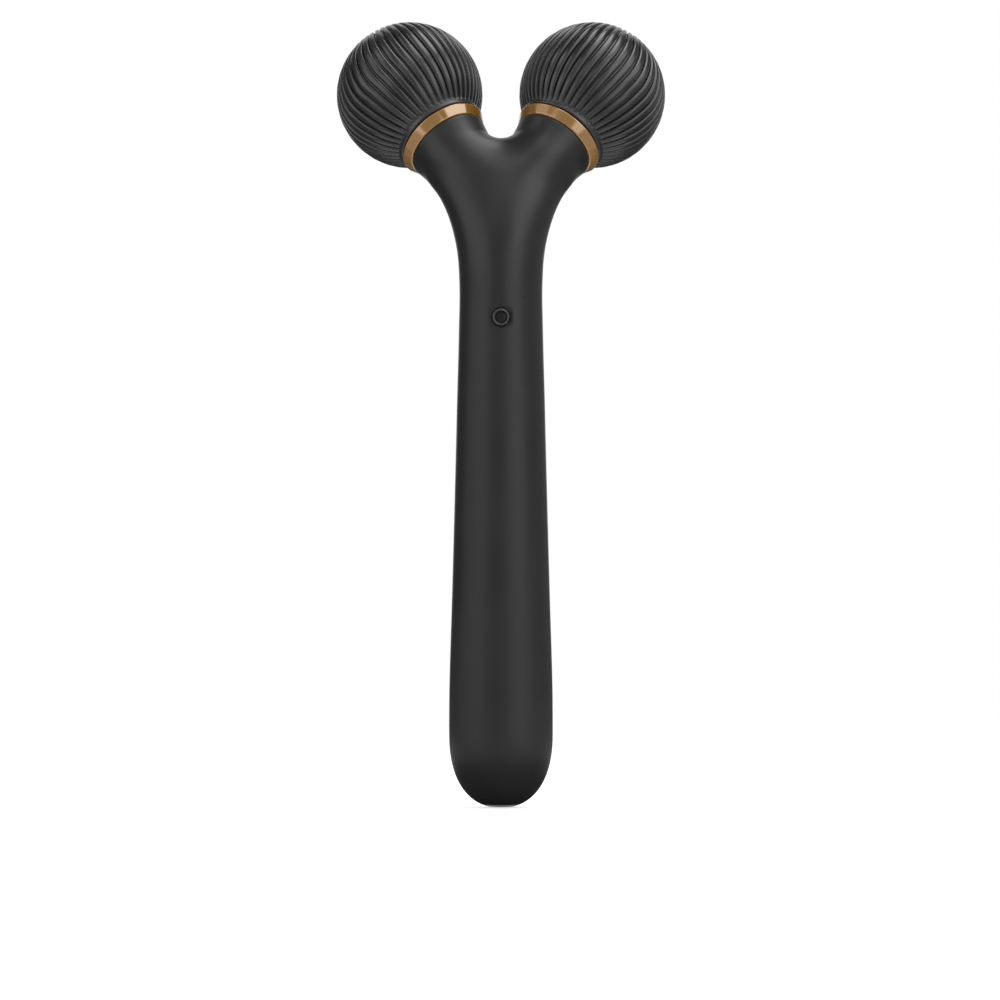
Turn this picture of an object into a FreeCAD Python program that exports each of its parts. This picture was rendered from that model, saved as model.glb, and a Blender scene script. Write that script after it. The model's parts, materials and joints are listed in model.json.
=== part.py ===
import FreeCAD, Part
import math
import os
import re
import Sketcher

os.makedirs("parts", exist_ok=True)
doc = FreeCAD.newDocument("facial_roller")

# Sizes in millimetres and degrees. The origin is the middle of the butt end, Z runs up the handle,
# the button faces -Y and the arms lean back towards +Y. "Run" sizes count along an arm from the
# point where both arm axes meet the handle axis.
SIZES = (
    # Charging insert at the back near the butt
    ("port_height", "18"),
    ("port_half_width", "3"),
    ("port_half_straight", "3.5"),
    ("port_thickness", "2.2"),
    ("port_clearance", "0.1"),
    ("port_sink", "1"),
    ("pin_radius", "0.9"),
    ("pin_half_pitch", "1.7"),
    ("pin_tail", "0.6"),
    ("magnet_radius", "1.8"),
    ("magnet_gap", "0.2"),
    ("magnet_thickness", "1.8"),
    ("magnet_half_pitch", "=pin_half_pitch + pin_radius + magnet_gap + magnet_radius"),
    # Battery and the chassis trough
    ("battery_radius", "5"),
    ("battery_length", "44"),
    ("battery_gap", "2.5"),
    ("battery_shift", "0.3"),
    ("battery_clearance", "0.15"),
    ("battery_end_gap", "0.3"),
    ("trough_wall", "1"),
    ("tab_width", "3"),
    ("tab_thickness", "0.2"),
    ("battery_low", "=port_height + port_half_straight + port_half_width + battery_gap"),
    ("battery_high", "=battery_low + battery_length"),
    ("trough_low", "=battery_low - battery_end_gap - trough_wall"),
    ("trough_high", "=battery_high + battery_end_gap + trough_wall"),
    # Screws of the chassis, board, plate and what sits on the board, one above the other
    ("post_gap", "3"),
    ("post_half_pitch", "4.2"),
    ("post_radius", "1.7"),
    ("post_screw_reach", "3"),
    ("board_face", "0.8"),
    ("board_thickness", "1"),
    ("board_width", "10"),
    ("board_gap", "2.7"),
    ("board_margin", "1.2"),
    ("plate_thickness", "1.2"),
    ("plate_lip", "0.5"),
    ("plate_margin", "3"),
    ("socket_width", "5"),
    ("socket_depth", "2"),
    ("socket_length", "3"),
    ("socket_gap", "3"),
    ("chip_width", "5"),
    ("chip_thickness", "0.9"),
    ("chip_gap", "2.5"),
    ("small_chip_width", "3"),
    ("light_width", "1.6"),
    ("light_thickness", "0.6"),
    ("light_length", "0.8"),
    ("light_half_pitch", "2"),
    ("light_gap", "2.2"),
    ("switch_width", "3.4"),
    ("switch_thickness", "1.6"),
    ("switch_gap", "0.9"),
    ("post_height", "=trough_high + post_gap"),
    ("board_low", "=post_height + board_gap"),
    ("socket_low", "=board_low + socket_gap"),
    ("small_chip_low", "=socket_low + socket_length + chip_gap"),
    ("chip_low", "=small_chip_low + small_chip_width + chip_gap"),
    ("light_low", "=chip_low + chip_width + light_gap"),
    ("button_height", "=light_low + light_length + switch_gap + switch_width / 2"),
    ("board_high", "=button_height + switch_width / 2 + board_margin"),
    ("board_back", "=board_thickness - board_face"),
    ("plate_back", "=board_back + plate_thickness"),
    ("plate_low", "=trough_high - trough_wall"),
    ("plate_high", "=board_high + plate_margin"),
    ("plate_width", "=board_width + 2 * plate_lip"),
    # Motor, sleeve and weight
    ("motor_radius", "3.5"),
    ("motor_length", "12"),
    ("motor_gap", "0.5"),
    ("motor_shift", "0.5"),
    ("sleeve_thickness", "1"),
    ("sleeve_set", "1"),
    ("sleeve_length", "8"),
    ("cradle_wall", "0.9"),
    ("cradle_overlap", "1"),
    ("shaft_radius", "0.6"),
    ("shaft_clearance", "0.05"),
    ("shaft_depth", "2"),
    ("shaft_tail", "0.5"),
    ("weight_gap", "1"),
    ("weight_radius", "2.6"),
    ("weight_length", "3"),
    ("weight_hub_radius", "1.2"),
    ("motor_low", "=plate_high + motor_gap"),
    ("motor_high", "=motor_low + motor_length"),
    ("sleeve_low", "=motor_low + sleeve_set"),
    ("sleeve_radius", "=motor_radius + sleeve_thickness"),
    ("cradle_low", "=plate_high - cradle_overlap"),
    ("cradle_length", "=sleeve_low + sleeve_length - cradle_low"),
    ("weight_low", "=motor_high + weight_gap"),
    # Where the arms meet, how far the head leans back, how far each arm spreads
    ("junction_gap", "3.75"),
    ("head_lean", "35.8"),
    ("arm_splay", "31.2"),
    ("junction_height", "=motor_high + junction_gap"),
    # Case: wall, handle outline round what it holds, arm tubes and the bend between them
    ("wall", "1.8"),
    ("case_gap", "0.55"),
    ("neck_widen", "0.2"),
    ("butt_widen", "2.2"),
    ("butt_thin", "0.1"),
    ("butt_round", "15.5"),
    ("lean_run", "15"),
    ("parting_shift", "0.2"),
    ("head_widen", "7.3"),
    ("head_thin", "1.9"),
    ("arm_radius", "8.1"),
    ("arm_end_radius", "8.8"),
    ("arm_straight", "3.467"),
    ("bend_radius", "10.8"),
    ("neck_half_depth", "=battery_radius + battery_clearance + trough_wall + case_gap + wall"),
    ("neck_half_width", "=neck_half_depth + neck_widen"),
    ("butt_half_width", "=neck_half_width + butt_widen"),
    ("butt_half_depth", "=neck_half_depth - butt_thin"),
    ("head_half_width", "=neck_half_width + head_widen"),
    ("head_half_depth", "=neck_half_depth - head_thin"),
    ("port_face", "=butt_half_depth - port_sink"),
    ("port_back", "=port_face - port_thickness"),
    ("pin_back", "=port_back - pin_tail"),
    ("arm_bore", "=arm_radius - wall"),
    ("bend_run", "=bend_radius / tan(arm_splay * 1 deg)"),
    ("bend_level", "=bend_radius / sin(arm_splay * 1 deg)"),
    ("lean_start", "=junction_height - lean_run"),
    ("lean_radius", "=lean_run / tan(head_lean * 0.5 deg)"),
    ("overrun", "4"),
    # Collar ring and the plug that carries it
    ("collar_gap", "0.3"),
    ("collar_low_radius", "8.85"),
    ("collar_high_radius", "9.9"),
    ("collar_width", "2.3"),
    ("collar_edge", "0.3"),
    ("spigot_radius", "7.2"),
    ("plug_clearance", "0.05"),
    ("plug_face_drop", "0.4"),
    ("plug_seat_radius", "8.2"),
    ("yoke_stub", "0.467"),
    ("arm_end_run", "=bend_run + arm_straight"),
    ("plug_run", "=bend_run + yoke_stub"),
    ("collar_run", "=arm_end_run + collar_gap"),
    ("collar_end_run", "=collar_run + collar_width"),
    ("plug_face_run", "=collar_end_run - plug_face_drop"),
    ("plug_radius", "=arm_bore - plug_clearance"),
    # Ball: skin, core and the smooth rim next to the collar
    ("ball_radius", "15.55"),
    ("ball_base_radius", "10.24"),
    ("skin_thickness", "2.55"),
    ("core_wall", "1.4"),
    ("rim_radius", "9.95"),
    ("rim_height", "1.6"),
    ("rim_edge", "0.7"),
    ("ball_gap", "0.4"),
    ("core_radius", "=ball_radius - skin_thickness"),
    ("core_bore_radius", "=core_radius - core_wall"),
    ("base_offset", "=sqrt(ball_radius ^ 2 - ball_base_radius ^ 2)"),
    ("rim_run", "=collar_end_run + ball_gap"),
    ("base_run", "=rim_run + rim_height"),
    ("ball_run", "=base_run + base_offset"),
    # Ribs: grooves on circles that pass the ball axis at a distance
    ("rib_count", "45"),
    ("groove_radius", "0.5"),
    ("groove_depth", "0.5"),
    ("groove_offset", "4"),
    ("groove_tilt", "6.5"),
    ("groove_fade", "73"),
    ("groove_sweep", "152"),
    ("groove_rise", "0.05"),
    # Axle, bushes, washer and clip
    ("axle_radius", "2"),
    ("axle_hold", "4.833"),
    ("axle_tail", "1.2"),
    ("running_gap", "0.05"),
    ("washer_thickness", "0.6"),
    ("washer_radius", "3.9"),
    ("washer_gap", "0.1"),
    ("bush_radius", "3.4"),
    ("bush_flange_radius", "4.5"),
    ("bush_flange", "0.8"),
    ("bush_length", "6"),
    ("hub_radius", "4.8"),
    ("hub_reach", "6"),
    ("hub_clearance", "0.1"),
    ("clip_gap", "0.2"),
    ("clip_thickness", "0.6"),
    ("clip_radius", "3.6"),
    ("clip_mouth", "2.4"),
    ("axle_groove_radius", "1.5"),
    ("axle_run", "=bend_run - axle_hold"),
    ("bush_bore", "=axle_radius + running_gap"),
    ("bush_run", "=plug_face_run + washer_thickness + washer_gap"),
    ("hub_run", "=bush_run + bush_flange"),
    ("hub_end_run", "=ball_run + hub_reach"),
    ("clip_run", "=hub_end_run + bush_flange + clip_gap"),
    ("axle_end_run", "=clip_run + clip_thickness + axle_tail"),
    # Yoke and its screws
    ("yoke_radius", "4"),
    ("yoke_flat", "2.6"),
    ("yoke_flat_half_width", "5"),
    ("yoke_screw_half_pitch", "3"),
    ("yoke_level", "=bend_level - bend_radius"),
    ("yoke_post_radius", "1.8"),
    ("yoke_screw_reach", "2.6"),
    ("screw_radius", "0.8"),
    ("screw_head_radius", "1.4"),
    ("screw_head", "0.9"),
    ("screw_slot", "0.4"),
    ("screw_slot_depth", "0.45"),
    # Button and switch, measured outwards from the handle axis
    ("button_radius", "1.8"),
    ("button_gap", "0.25"),
    ("button_rise", "0.5"),
    ("button_travel", "0.4"),
    ("lens_radius", "1.3"),
    ("lens_sink", "0.25"),
    ("lens_thickness", "0.8"),
    ("lens_dish", "0.15"),
    ("seat_depth", "2.7"),
    ("seat_radius", "3.6"),
    ("seal_thickness", "0.3"),
    ("seal_radius", "3.1"),
    ("flange_radius", "2.9"),
    ("flange_thickness", "0.8"),
    ("stem_radius", "1.2"),
    ("plunger_radius", "0.9"),
    ("plunger_spare", "0.3"),
    ("plunger_depth", "0.8"),
    ("plunger_gap", "0.05"),
    ("switch_floor", "0.3"),
    ("button_out", "=neck_half_depth + button_rise"),
    ("seat_out", "=neck_half_depth - seat_depth"),
    ("flange_out", "=seat_out - seal_thickness"),
    ("switch_out", "=board_face + switch_thickness"),
    ("plunger_out", "=switch_out + button_travel + plunger_spare"),
    # Leads
    ("lead_radius", "0.4"),
    ("lead_skin_gap", "0.15"),
    ("side_lead_gap", "0.9"),
    ("side_lead_front", "1.6"),
    ("motor_lead_half_pitch", "2.6"),
    ("battery_lead_half_pitch", "1.2"),
    ("lead_drop", "3.5"),
    ("lead_lift", "4"),
    ("side_lead_out", "=battery_radius + lead_radius + side_lead_gap"),
)

# Outline of the handle as shares: rounded butt, grip, then the blend into the leaning head
BUTT_ANGLES = (80, 70, 60, 48, 36, 24, 12, 0)
BUTT_POWER_SHARE = 2 / 2.3
GRIP_HEIGHT_SHARES = (0.076, 0.301, 0.527, 0.752, 1.0)
GRIP_WIDTH_SHARES = (0.986, 0.664, 0.405, 0.182, 0.0)
HEAD_TURN_SHARES = (0.24, 0.388, 0.573, 0.70, 0.80, 0.88)
HEAD_WIDTH_SHARES = (0.0705, 0.187, 0.418, 0.652, 0.88, 1.0)
HEAD_DEPTH_SHARES = (0.0, 0.05, 0.16, 0.32, 0.58, 1.0)
ARM_RUN_SHARES = (0.0, 0.35, 0.7, 1.0)
ARM_FLARE_SHARES = (0.0, 0.12, 0.5, 1.0)

X_AXIS = FreeCAD.Vector(1, 0, 0)
Y_AXIS = FreeCAD.Vector(0, 1, 0)
Z_AXIS = FreeCAD.Vector(0, 0, 1)
SIDES = (("left", -1), ("right", 1))

sheet = doc.addObject("Spreadsheet::Sheet", "Sizes")
for row, (alias, content) in enumerate(SIZES, start=1):
    sheet.set("A%d" % row, alias)
    sheet.set("B%d" % row, content)
    sheet.setAlias("B%d" % row, alias)
doc.recompute()

ALIASES = {alias for alias, content in SIZES}
WORD = re.compile(r"[a-z][a-z_]+")
nodes = []


def size(alias):
    """Number held by one cell of the sheet."""
    return float(sheet.get(alias))


def bound(text):
    """Expression text with each size name pointing at its cell."""
    def cell(match):
        word = match.group(0)
        return "Sizes." + word if word in ALIASES else word
    return WORD.sub(cell, text)


def at(x, y, z, turn=None):
    return FreeCAD.Placement(FreeCAD.Vector(x, y, z), turn or FreeCAD.Rotation())


def keep(label, item):
    """Marks an object as one finished piece of the assembly."""
    item.Label = label
    nodes.append(item)
    return item


def solid(kind, name, place, **texts):
    """Part primitive with every size bound to the sheet."""
    item = doc.addObject("Part::" + kind, name)
    for prop, text in texts.items():
        item.setExpression(prop, bound(text))
    item.Placement = place
    return item


def fuse(name, items):
    item = doc.addObject("Part::MultiFuse", name)
    item.Shapes = items
    return item


def common(name, items):
    item = doc.addObject("Part::MultiCommon", name)
    item.Shapes = items
    return item


def cut(name, base, tool):
    item = doc.addObject("Part::Cut", name)
    item.Base = base
    item.Tool = tool
    return item


def group(name, items):
    item = doc.addObject("Part::Compound", name)
    item.Links = items
    return item


def add_outline(sketch, points):
    """Closed outline of straight lines; each corner is held by two bound distances."""
    count = len(points)
    for index in range(count):
        start = 2 * math.pi * index / count
        end = 2 * math.pi * (index + 1) / count
        sketch.addGeometry(Part.LineSegment(
            FreeCAD.Vector(2 + math.cos(start), math.sin(start), 0),
            FreeCAD.Vector(2 + math.cos(end), math.sin(end), 0)))
    for index in range(count):
        sketch.addConstraint(Sketcher.Constraint("Coincident", index, 2, (index + 1) % count, 1))
    for index, texts in enumerate(points):
        for direction, text in zip(("DistanceX", "DistanceY"), texts):
            held = sketch.addConstraint(Sketcher.Constraint(direction, -1, 1, index, 1, 1.0))
            sketch.setExpression("Constraints[%d]" % held, bound(text))


def attach(sketch, body, role):
    plane = [item for item in body.Origin.OriginFeatures if item.Role == role][0]
    sketch.AttachmentSupport = (plane, [""])
    sketch.MapMode = "FlatFace"


def lathe(name, place, points):
    """Body turned about its own Z axis from (radius, height) corners."""
    body = doc.addObject("PartDesign::Body", name)
    sketch = body.newObject("Sketcher::SketchObject", name + "_profile")
    attach(sketch, body, "XZ_Plane")
    add_outline(sketch, points)
    turn = body.newObject("PartDesign::Revolution", name + "_turn")
    turn.Profile = sketch
    turn.ReferenceAxis = (sketch, ["V_Axis"])
    turn.Angle = 360
    body.Placement = place
    return body


def prism(name, place, points, length):
    """Body padded along its own Z axis from (x, y) corners."""
    body = doc.addObject("PartDesign::Body", name)
    sketch = body.newObject("Sketcher::SketchObject", name + "_profile")
    attach(sketch, body, "XY_Plane")
    add_outline(sketch, points)
    pad = body.newObject("PartDesign::Pad", name + "_pad")
    pad.Profile = sketch
    pad.setExpression("Length", bound(length))
    body.Placement = place
    return body


# Frames: the leaning head, each arm, and the outward direction of the button
lean = math.radians(size("head_lean"))
splay = math.radians(size("arm_splay"))
head_place = at(0, 0, size("junction_height"), FreeCAD.Rotation(X_AXIS, -size("head_lean")))
button_place = at(0, 0, size("button_height"), FreeCAD.Rotation(Z_AXIS, -Y_AXIS))


def arm_place(sign, run=0.0):
    axis = head_place.Rotation.multVec(FreeCAD.Vector(sign * math.sin(splay), 0, math.cos(splay)))
    start = head_place.Base + axis * run
    return FreeCAD.Placement(start, FreeCAD.Rotation(Z_AXIS, axis))


def arm_cylinder(name, sign, radius, low, high):
    """Round bar on an arm axis between two runs."""
    item = solid("Cylinder", name, arm_place(sign, size(low)),
                 Radius=radius, Height=high + " - " + low)
    return item


# Case


def stations():
    """Sections of the handle as (place, half width, half depth), each text with a wall to take off."""
    tip_share = math.sin(math.radians(BUTT_ANGLES[0])) ** BUTT_POWER_SHARE
    rows = []
    for angle in BUTT_ANGLES:
        across_share = math.cos(math.radians(angle)) ** BUTT_POWER_SHARE
        up_share = tip_share - math.sin(math.radians(angle)) ** BUTT_POWER_SHARE
        rows.append(("butt", up_share, across_share, across_share))
    for up_share, across_share in zip(GRIP_HEIGHT_SHARES, GRIP_WIDTH_SHARES):
        rows.append(("grip", up_share, across_share, across_share))
    for turn_share, across_share, deep_share in zip(HEAD_TURN_SHARES, HEAD_WIDTH_SHARES,
                                                    HEAD_DEPTH_SHARES):
        rows.append(("head", turn_share, across_share, deep_share))
    return tip_share, rows


def handle(name, inset):
    """Lofted handle; an inset of one gives the hollow inside the wall."""
    tip_share, rows = stations()
    taken = inset * size("wall")
    butt_top = taken + (size("butt_round") - taken) * tip_share
    sections = []
    for index, (zone, along_share, across_share, deep_share) in enumerate(rows):
        turn = 0.0
        back = 0.0
        if zone == "butt":
            up = taken + (size("butt_round") - taken) * along_share
            across = "(butt_half_width - wall * %d) * %.6f" % (inset, across_share)
            deep = "(butt_half_depth - wall * %d) * %.6f" % (inset, deep_share)
        elif zone == "grip":
            up = butt_top + (size("lean_start") - butt_top) * along_share
            across = ("neck_half_width + (butt_half_width - neck_half_width) * %.6f - wall * %d"
                      % (across_share, inset))
            deep = ("neck_half_depth + (butt_half_depth - neck_half_depth) * %.6f - wall * %d"
                    % (deep_share, inset))
        else:
            turn = size("head_lean") * along_share
            up = size("lean_start") + size("lean_radius") * math.sin(math.radians(turn))
            back = size("lean_radius") * (1 - math.cos(math.radians(turn)))
            across = ("neck_half_width + (head_half_width - neck_half_width) * %.6f - wall * %d"
                      % (across_share, inset))
            deep = ("neck_half_depth + (head_half_depth - neck_half_depth) * %.6f - wall * %d"
                    % (deep_share, inset))
        place = at(0, back, up, FreeCAD.Rotation(X_AXIS, -turn))
        sections.append(solid("Ellipse", "%s_section_%d" % (name, index), place,
                              MajorRadius=across, MinorRadius=deep))
    loft = doc.addObject("Part::Loft", name)
    loft.Sections = sections
    loft.Solid = True
    return loft


def bend(name, radius):
    """Bent bar that joins both arm axes in the head plane."""
    start = at(0, 0, 0, FreeCAD.Rotation(Z_AXIS, size("arm_splay") - 180))
    plane = at(0, 0, size("bend_level"), FreeCAD.Rotation(X_AXIS, 90))
    return solid("Torus", name, head_place.multiply(plane).multiply(start),
                 Radius1="bend_radius", Radius2=radius, Angle3="180 - 2 * arm_splay")


def flared_arm(name, sign):
    """Arm tube that opens out towards its collar."""
    sections = []
    straight = size("arm_end_run") - size("bend_run")
    for index, (along_share, flare_share) in enumerate(zip(ARM_RUN_SHARES, ARM_FLARE_SHARES)):
        place = arm_place(sign, size("bend_run") + straight * along_share)
        sections.append(solid("Circle", "%s_section_%d" % (name, index), place,
                              Radius="arm_radius + (arm_end_radius - arm_radius) * %.6f" % flare_share))
    loft = doc.addObject("Part::Loft", name)
    loft.Sections = sections
    loft.Solid = True
    return loft


body_outside = fuse("body_outside", [handle("handle_outside", 0), bend("bend_outside", "arm_radius")]
                    + [flared_arm(side + "_arm_outside", sign) for side, sign in SIDES])
body_hollow = fuse("body_hollow", [handle("handle_hollow", 1), bend("bend_hollow", "arm_bore")]
                   + [arm_cylinder(side + "_arm_hollow", sign, "arm_bore", "bend_run",
                                   "(arm_end_run + overrun)") for side, sign in SIDES])
body_wall = cut("body_wall", body_outside, body_hollow)


def front_space():
    """Everything in front of the parting face, which follows the bent middle of the body."""
    reach = size("junction_height")
    radius = size("lean_radius")
    low = size("lean_start")
    ends = [FreeCAD.Vector(0, 0, -size("overrun")), FreeCAD.Vector(0, 0, low)]
    middle = FreeCAD.Vector(0, radius * (1 - math.cos(lean / 2)), low + radius * math.sin(lean / 2))
    ends.append(FreeCAD.Vector(0, radius * (1 - math.cos(lean)), low + radius * math.sin(lean)))
    ends.append(ends[2] + FreeCAD.Vector(0, math.sin(lean), math.cos(lean)) * reach)
    ends.append(FreeCAD.Vector(0, -reach, ends[3].z))
    ends.append(FreeCAD.Vector(0, -reach, ends[0].z))
    edges = [Part.makeLine(ends[0], ends[1]), Part.Arc(ends[1], middle, ends[2]).toShape()]
    for start, end in zip(ends[2:], ends[3:] + ends[:1]):
        edges.append(Part.makeLine(start, end))
    face = Part.Face(Part.Wire(edges))
    face.translate(X_AXIS * -reach + Y_AXIS * size("parting_shift"))
    item = doc.addObject("Part::Feature", "front_space")
    item.Shape = face.extrude(X_AXIS * (2 * reach))
    return item


parting = front_space()
front_half = common("front_half", [body_wall, parting])
rear_half = cut("rear_half", body_wall, parting)

# Front shell: inner seat and hole for the button
button_seat = solid("Cylinder", "button_seat", button_place.multiply(at(0, 0, size("seat_out"))),
                    Radius="seat_radius", Height="button_out - seat_out")
button_hole = solid("Cylinder", "button_hole", button_place, Radius="button_radius + button_gap",
                    Height="button_out + overrun")
seat_in_body = common("seat_in_body", [button_seat, body_outside])
front_filled = fuse("front_filled", [front_half, seat_in_body])
front_shell = keep("front_shell", cut("front_shell", front_filled, button_hole))


# Rear shell: screw posts and the opening for the charging insert


def obround(name, half_width, low, length):
    """Upright slot shape that runs backwards from a depth."""
    turn = FreeCAD.Rotation(Z_AXIS, Y_AXIS)
    straight = size("port_half_straight")
    items = [solid("Box", name + "_middle", at(0, low, size("port_height") - straight),
                   Length="2 * " + half_width, Width=length, Height="2 * port_half_straight")]
    items[0].setExpression("Placement.Base.x", bound("0 - " + half_width))
    for index, sign in enumerate((-1, 1)):
        place = at(0, low, size("port_height") + sign * straight, turn)
        items.append(solid("Cylinder", "%s_end_%d" % (name, index), place, Radius=half_width, Height=length))
    return fuse(name, items)


def along_y(name, x, y, z, radius, length):
    """Round bar that runs backwards from a point."""
    place = at(x, y, z, FreeCAD.Rotation(Z_AXIS, Y_AXIS))
    return solid("Cylinder", name, place, Radius=radius, Height=length)


def in_head(name, x, y, level, radius, length):
    """Round bar square to the head plane that runs backwards from a depth in the head."""
    place = head_place.multiply(at(x, y, level, FreeCAD.Rotation(Z_AXIS, Y_AXIS)))
    return solid("Cylinder", name, place, Radius=radius, Height=length)


posts = []
rear_holes = []
for side, sign in SIDES:
    across = sign * size("post_half_pitch")
    posts.append(along_y(side + "_chassis_post", across, size("plate_back"), size("post_height"),
                         "post_radius", "butt_half_depth"))
    rear_holes.append(along_y(side + "_chassis_post_hole", across, size("board_back"), size("post_height"),
                              "screw_radius", "plate_thickness + post_screw_reach"))
    across = sign * size("yoke_screw_half_pitch")
    posts.append(in_head(side + "_yoke_post", across, size("yoke_flat"), size("yoke_level"),
                         "yoke_post_radius", "arm_radius"))
    rear_holes.append(in_head(side + "_yoke_post_hole", across, 0, size("yoke_level"),
                              "screw_radius", "yoke_flat + yoke_screw_reach"))
rear_holes.append(obround("port_hole", "(port_half_width + port_clearance)", size("pin_back"),
                          "port_face - pin_back + overrun"))
posts_in_body = common("posts_in_body", [fuse("all_posts", posts), body_outside])
rear_filled = fuse("rear_filled", [rear_half, posts_in_body])
rear_shell = keep("rear_shell", cut("rear_shell", rear_filled, group("rear_holes", rear_holes)))

# Chassis: trough behind the battery, plate behind the board, cradle behind the motor sleeve

battery_place = at(0, -size("battery_shift"), size("battery_low"))
motor_place = at(0, size("motor_shift"), size("motor_low"))
trough = solid("Cylinder", "trough", at(0, -size("battery_shift"), size("trough_low")),
               Radius="battery_radius + battery_clearance + trough_wall", Height="trough_high - trough_low",
               Angle="180")
plate = solid("Box", "plate", at(-size("plate_width") / 2, size("board_back"), size("plate_low")),
              Length="plate_width", Width="plate_thickness", Height="plate_high - plate_low")
cradle = solid("Cylinder", "cradle", at(0, size("motor_shift"), size("cradle_low")),
               Radius="sleeve_radius + cradle_wall", Height="cradle_length", Angle="180")
battery_space = solid("Cylinder", "battery_space",
                      at(0, -size("battery_shift"), size("battery_low") - size("battery_end_gap")),
                      Radius="battery_radius + battery_clearance",
                      Height="battery_length + 2 * battery_end_gap")
motor_space = solid("Cylinder", "motor_space", at(0, size("motor_shift"), size("plate_high")),
                    Radius="sleeve_radius", Height="motor_length")
cradle_space = solid("Cylinder", "cradle_space", at(0, size("motor_shift"), size("cradle_low")),
                     Radius="sleeve_radius", Height="motor_length")
cradle_ring = cut("cradle_ring", cradle, cradle_space)
chassis_spaces = [battery_space, motor_space]
for side, sign in SIDES:
    chassis_spaces.append(along_y(side + "_chassis_hole", sign * size("post_half_pitch"), size("board_back"),
                                  size("post_height"), "screw_radius", "plate_thickness"))
chassis_solid = fuse("chassis_solid", [trough, plate, cradle_ring])
keep("chassis", cut("chassis", chassis_solid, group("chassis_spaces", chassis_spaces)))

# Battery with its end strips

keep("battery_cell", solid("Cylinder", "battery_cell", battery_place, Radius="battery_radius",
                           Height="battery_length"))
tabs = []
for index, low in enumerate((size("battery_low") - size("tab_thickness"), size("battery_high"))):
    tabs.append(solid("Box", "battery_tab_%d" % index,
                      at(-size("tab_width") / 2, -size("battery_shift") - size("tab_width"), low),
                      Length="tab_width", Width="tab_width", Height="tab_thickness"))
keep("battery_tabs", group("battery_tabs", tabs))

# Board and what is soldered to it


def on_board(name, x, z, width, thickness, length):
    """Block on the front face of the board, given by the middle of its lower edge."""
    item = solid("Box", name, at(x, 0, z), Length=width, Width=thickness, Height=length)
    item.setExpression("Placement.Base.x", bound("%.6f - %s / 2" % (x, width)))
    item.setExpression("Placement.Base.y", bound("0 - board_face - " + thickness))
    return item


keep("main_board", prism("main_board", at(0, size("board_back"), size("board_low"),
                                          FreeCAD.Rotation(X_AXIS, 90)),
                         (("0 - board_width / 2", "0"), ("board_width / 2", "0"),
                          ("board_width / 2", "board_high - board_low"),
                          ("0 - board_width / 2", "board_high - board_low")), "board_thickness"))
keep("board_components", group("board_components", [
    on_board("chip", 0, size("chip_low"), "chip_width", "chip_thickness", "chip_width"),
    on_board("small_chip", 0, size("small_chip_low"), "small_chip_width", "chip_thickness",
             "small_chip_width"),
    on_board("lead_socket", 0, size("socket_low"), "socket_width", "socket_depth",
             "socket_length")]))
keep("status_leds", group("status_leds", [
    on_board("%s_light" % side, sign * size("light_half_pitch"), size("light_low"), "light_width",
             "light_thickness", "light_length") for side, sign in SIDES]))

# Button and switch, turned about the outward axis of the button

switch_block = on_board("switch_block", 0, size("button_height") - size("switch_width") / 2, "switch_width",
                        "switch_thickness", "switch_width")
switch_hole = solid("Cylinder", "switch_hole",
                    button_place.multiply(at(0, 0, size("board_face") + size("switch_floor"))),
                    Radius="plunger_radius + plunger_gap", Height="switch_thickness")
keep("switch_body", cut("switch_body", switch_block, switch_hole))
keep("switch_plunger", lathe("switch_plunger", button_place, (
    ("0", "switch_out - plunger_depth"), ("plunger_radius", "switch_out - plunger_depth"),
    ("plunger_radius", "plunger_out"), ("0", "plunger_out"))))
keep("button_cap", lathe("button_cap", button_place, (
    ("0", "plunger_out"), ("stem_radius", "plunger_out"),
    ("stem_radius", "flange_out - flange_thickness"), ("flange_radius", "flange_out - flange_thickness"),
    ("flange_radius", "flange_out"), ("button_radius", "flange_out"),
    ("button_radius", "button_out - lens_dish"), ("button_radius - lens_dish", "button_out"),
    ("lens_radius + lens_dish", "button_out"), ("lens_radius", "button_out - lens_dish"),
    ("lens_radius", "button_out - lens_sink - lens_thickness"),
    ("0", "button_out - lens_sink - lens_thickness"))))
keep("button_lens", lathe("button_lens", button_place, (
    ("0", "button_out - lens_sink - lens_thickness"),
    ("lens_radius", "button_out - lens_sink - lens_thickness"), ("lens_radius", "button_out - lens_sink"),
    ("lens_radius / 2", "button_out - lens_sink - lens_dish"),
    ("0", "button_out - lens_sink - lens_dish"))))
keep("button_seal", lathe("button_seal", button_place, (
    ("button_radius + button_gap", "flange_out"), ("seal_radius", "flange_out"),
    ("seal_radius", "seat_out"), ("button_radius + button_gap", "seat_out"))))

# Motor with its sleeve, shaft and off-centre weight

keep("motor_can", lathe("motor_can", motor_place, (
    ("0", "0"), ("motor_radius", "0"), ("motor_radius", "motor_length"),
    ("shaft_radius + shaft_clearance", "motor_length"),
    ("shaft_radius + shaft_clearance", "motor_length - shaft_depth - weight_gap"),
    ("0", "motor_length - shaft_depth - weight_gap"))))
keep("motor_sleeve", lathe("motor_sleeve", motor_place, (
    ("motor_radius", "sleeve_low - motor_low"), ("sleeve_radius", "sleeve_low - motor_low"),
    ("sleeve_radius", "sleeve_low - motor_low + sleeve_length"),
    ("motor_radius", "sleeve_low - motor_low + sleeve_length"))))
keep("motor_shaft", lathe("motor_shaft", motor_place, (
    ("0", "motor_length - shaft_depth"), ("shaft_radius", "motor_length - shaft_depth"),
    ("shaft_radius", "weight_low - motor_low + weight_length + shaft_tail"),
    ("0", "weight_low - motor_low + weight_length + shaft_tail"))))
weight_place = at(0, size("motor_shift"), size("weight_low"))
weight_solid = fuse("weight_solid", [
    solid("Cylinder", "weight_half", weight_place, Radius="weight_radius", Height="weight_length",
          Angle="180"),
    solid("Cylinder", "weight_hub", weight_place, Radius="weight_hub_radius", Height="weight_length")])
weight_bore = solid("Cylinder", "weight_bore", weight_place, Radius="shaft_radius", Height="weight_length")
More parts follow.
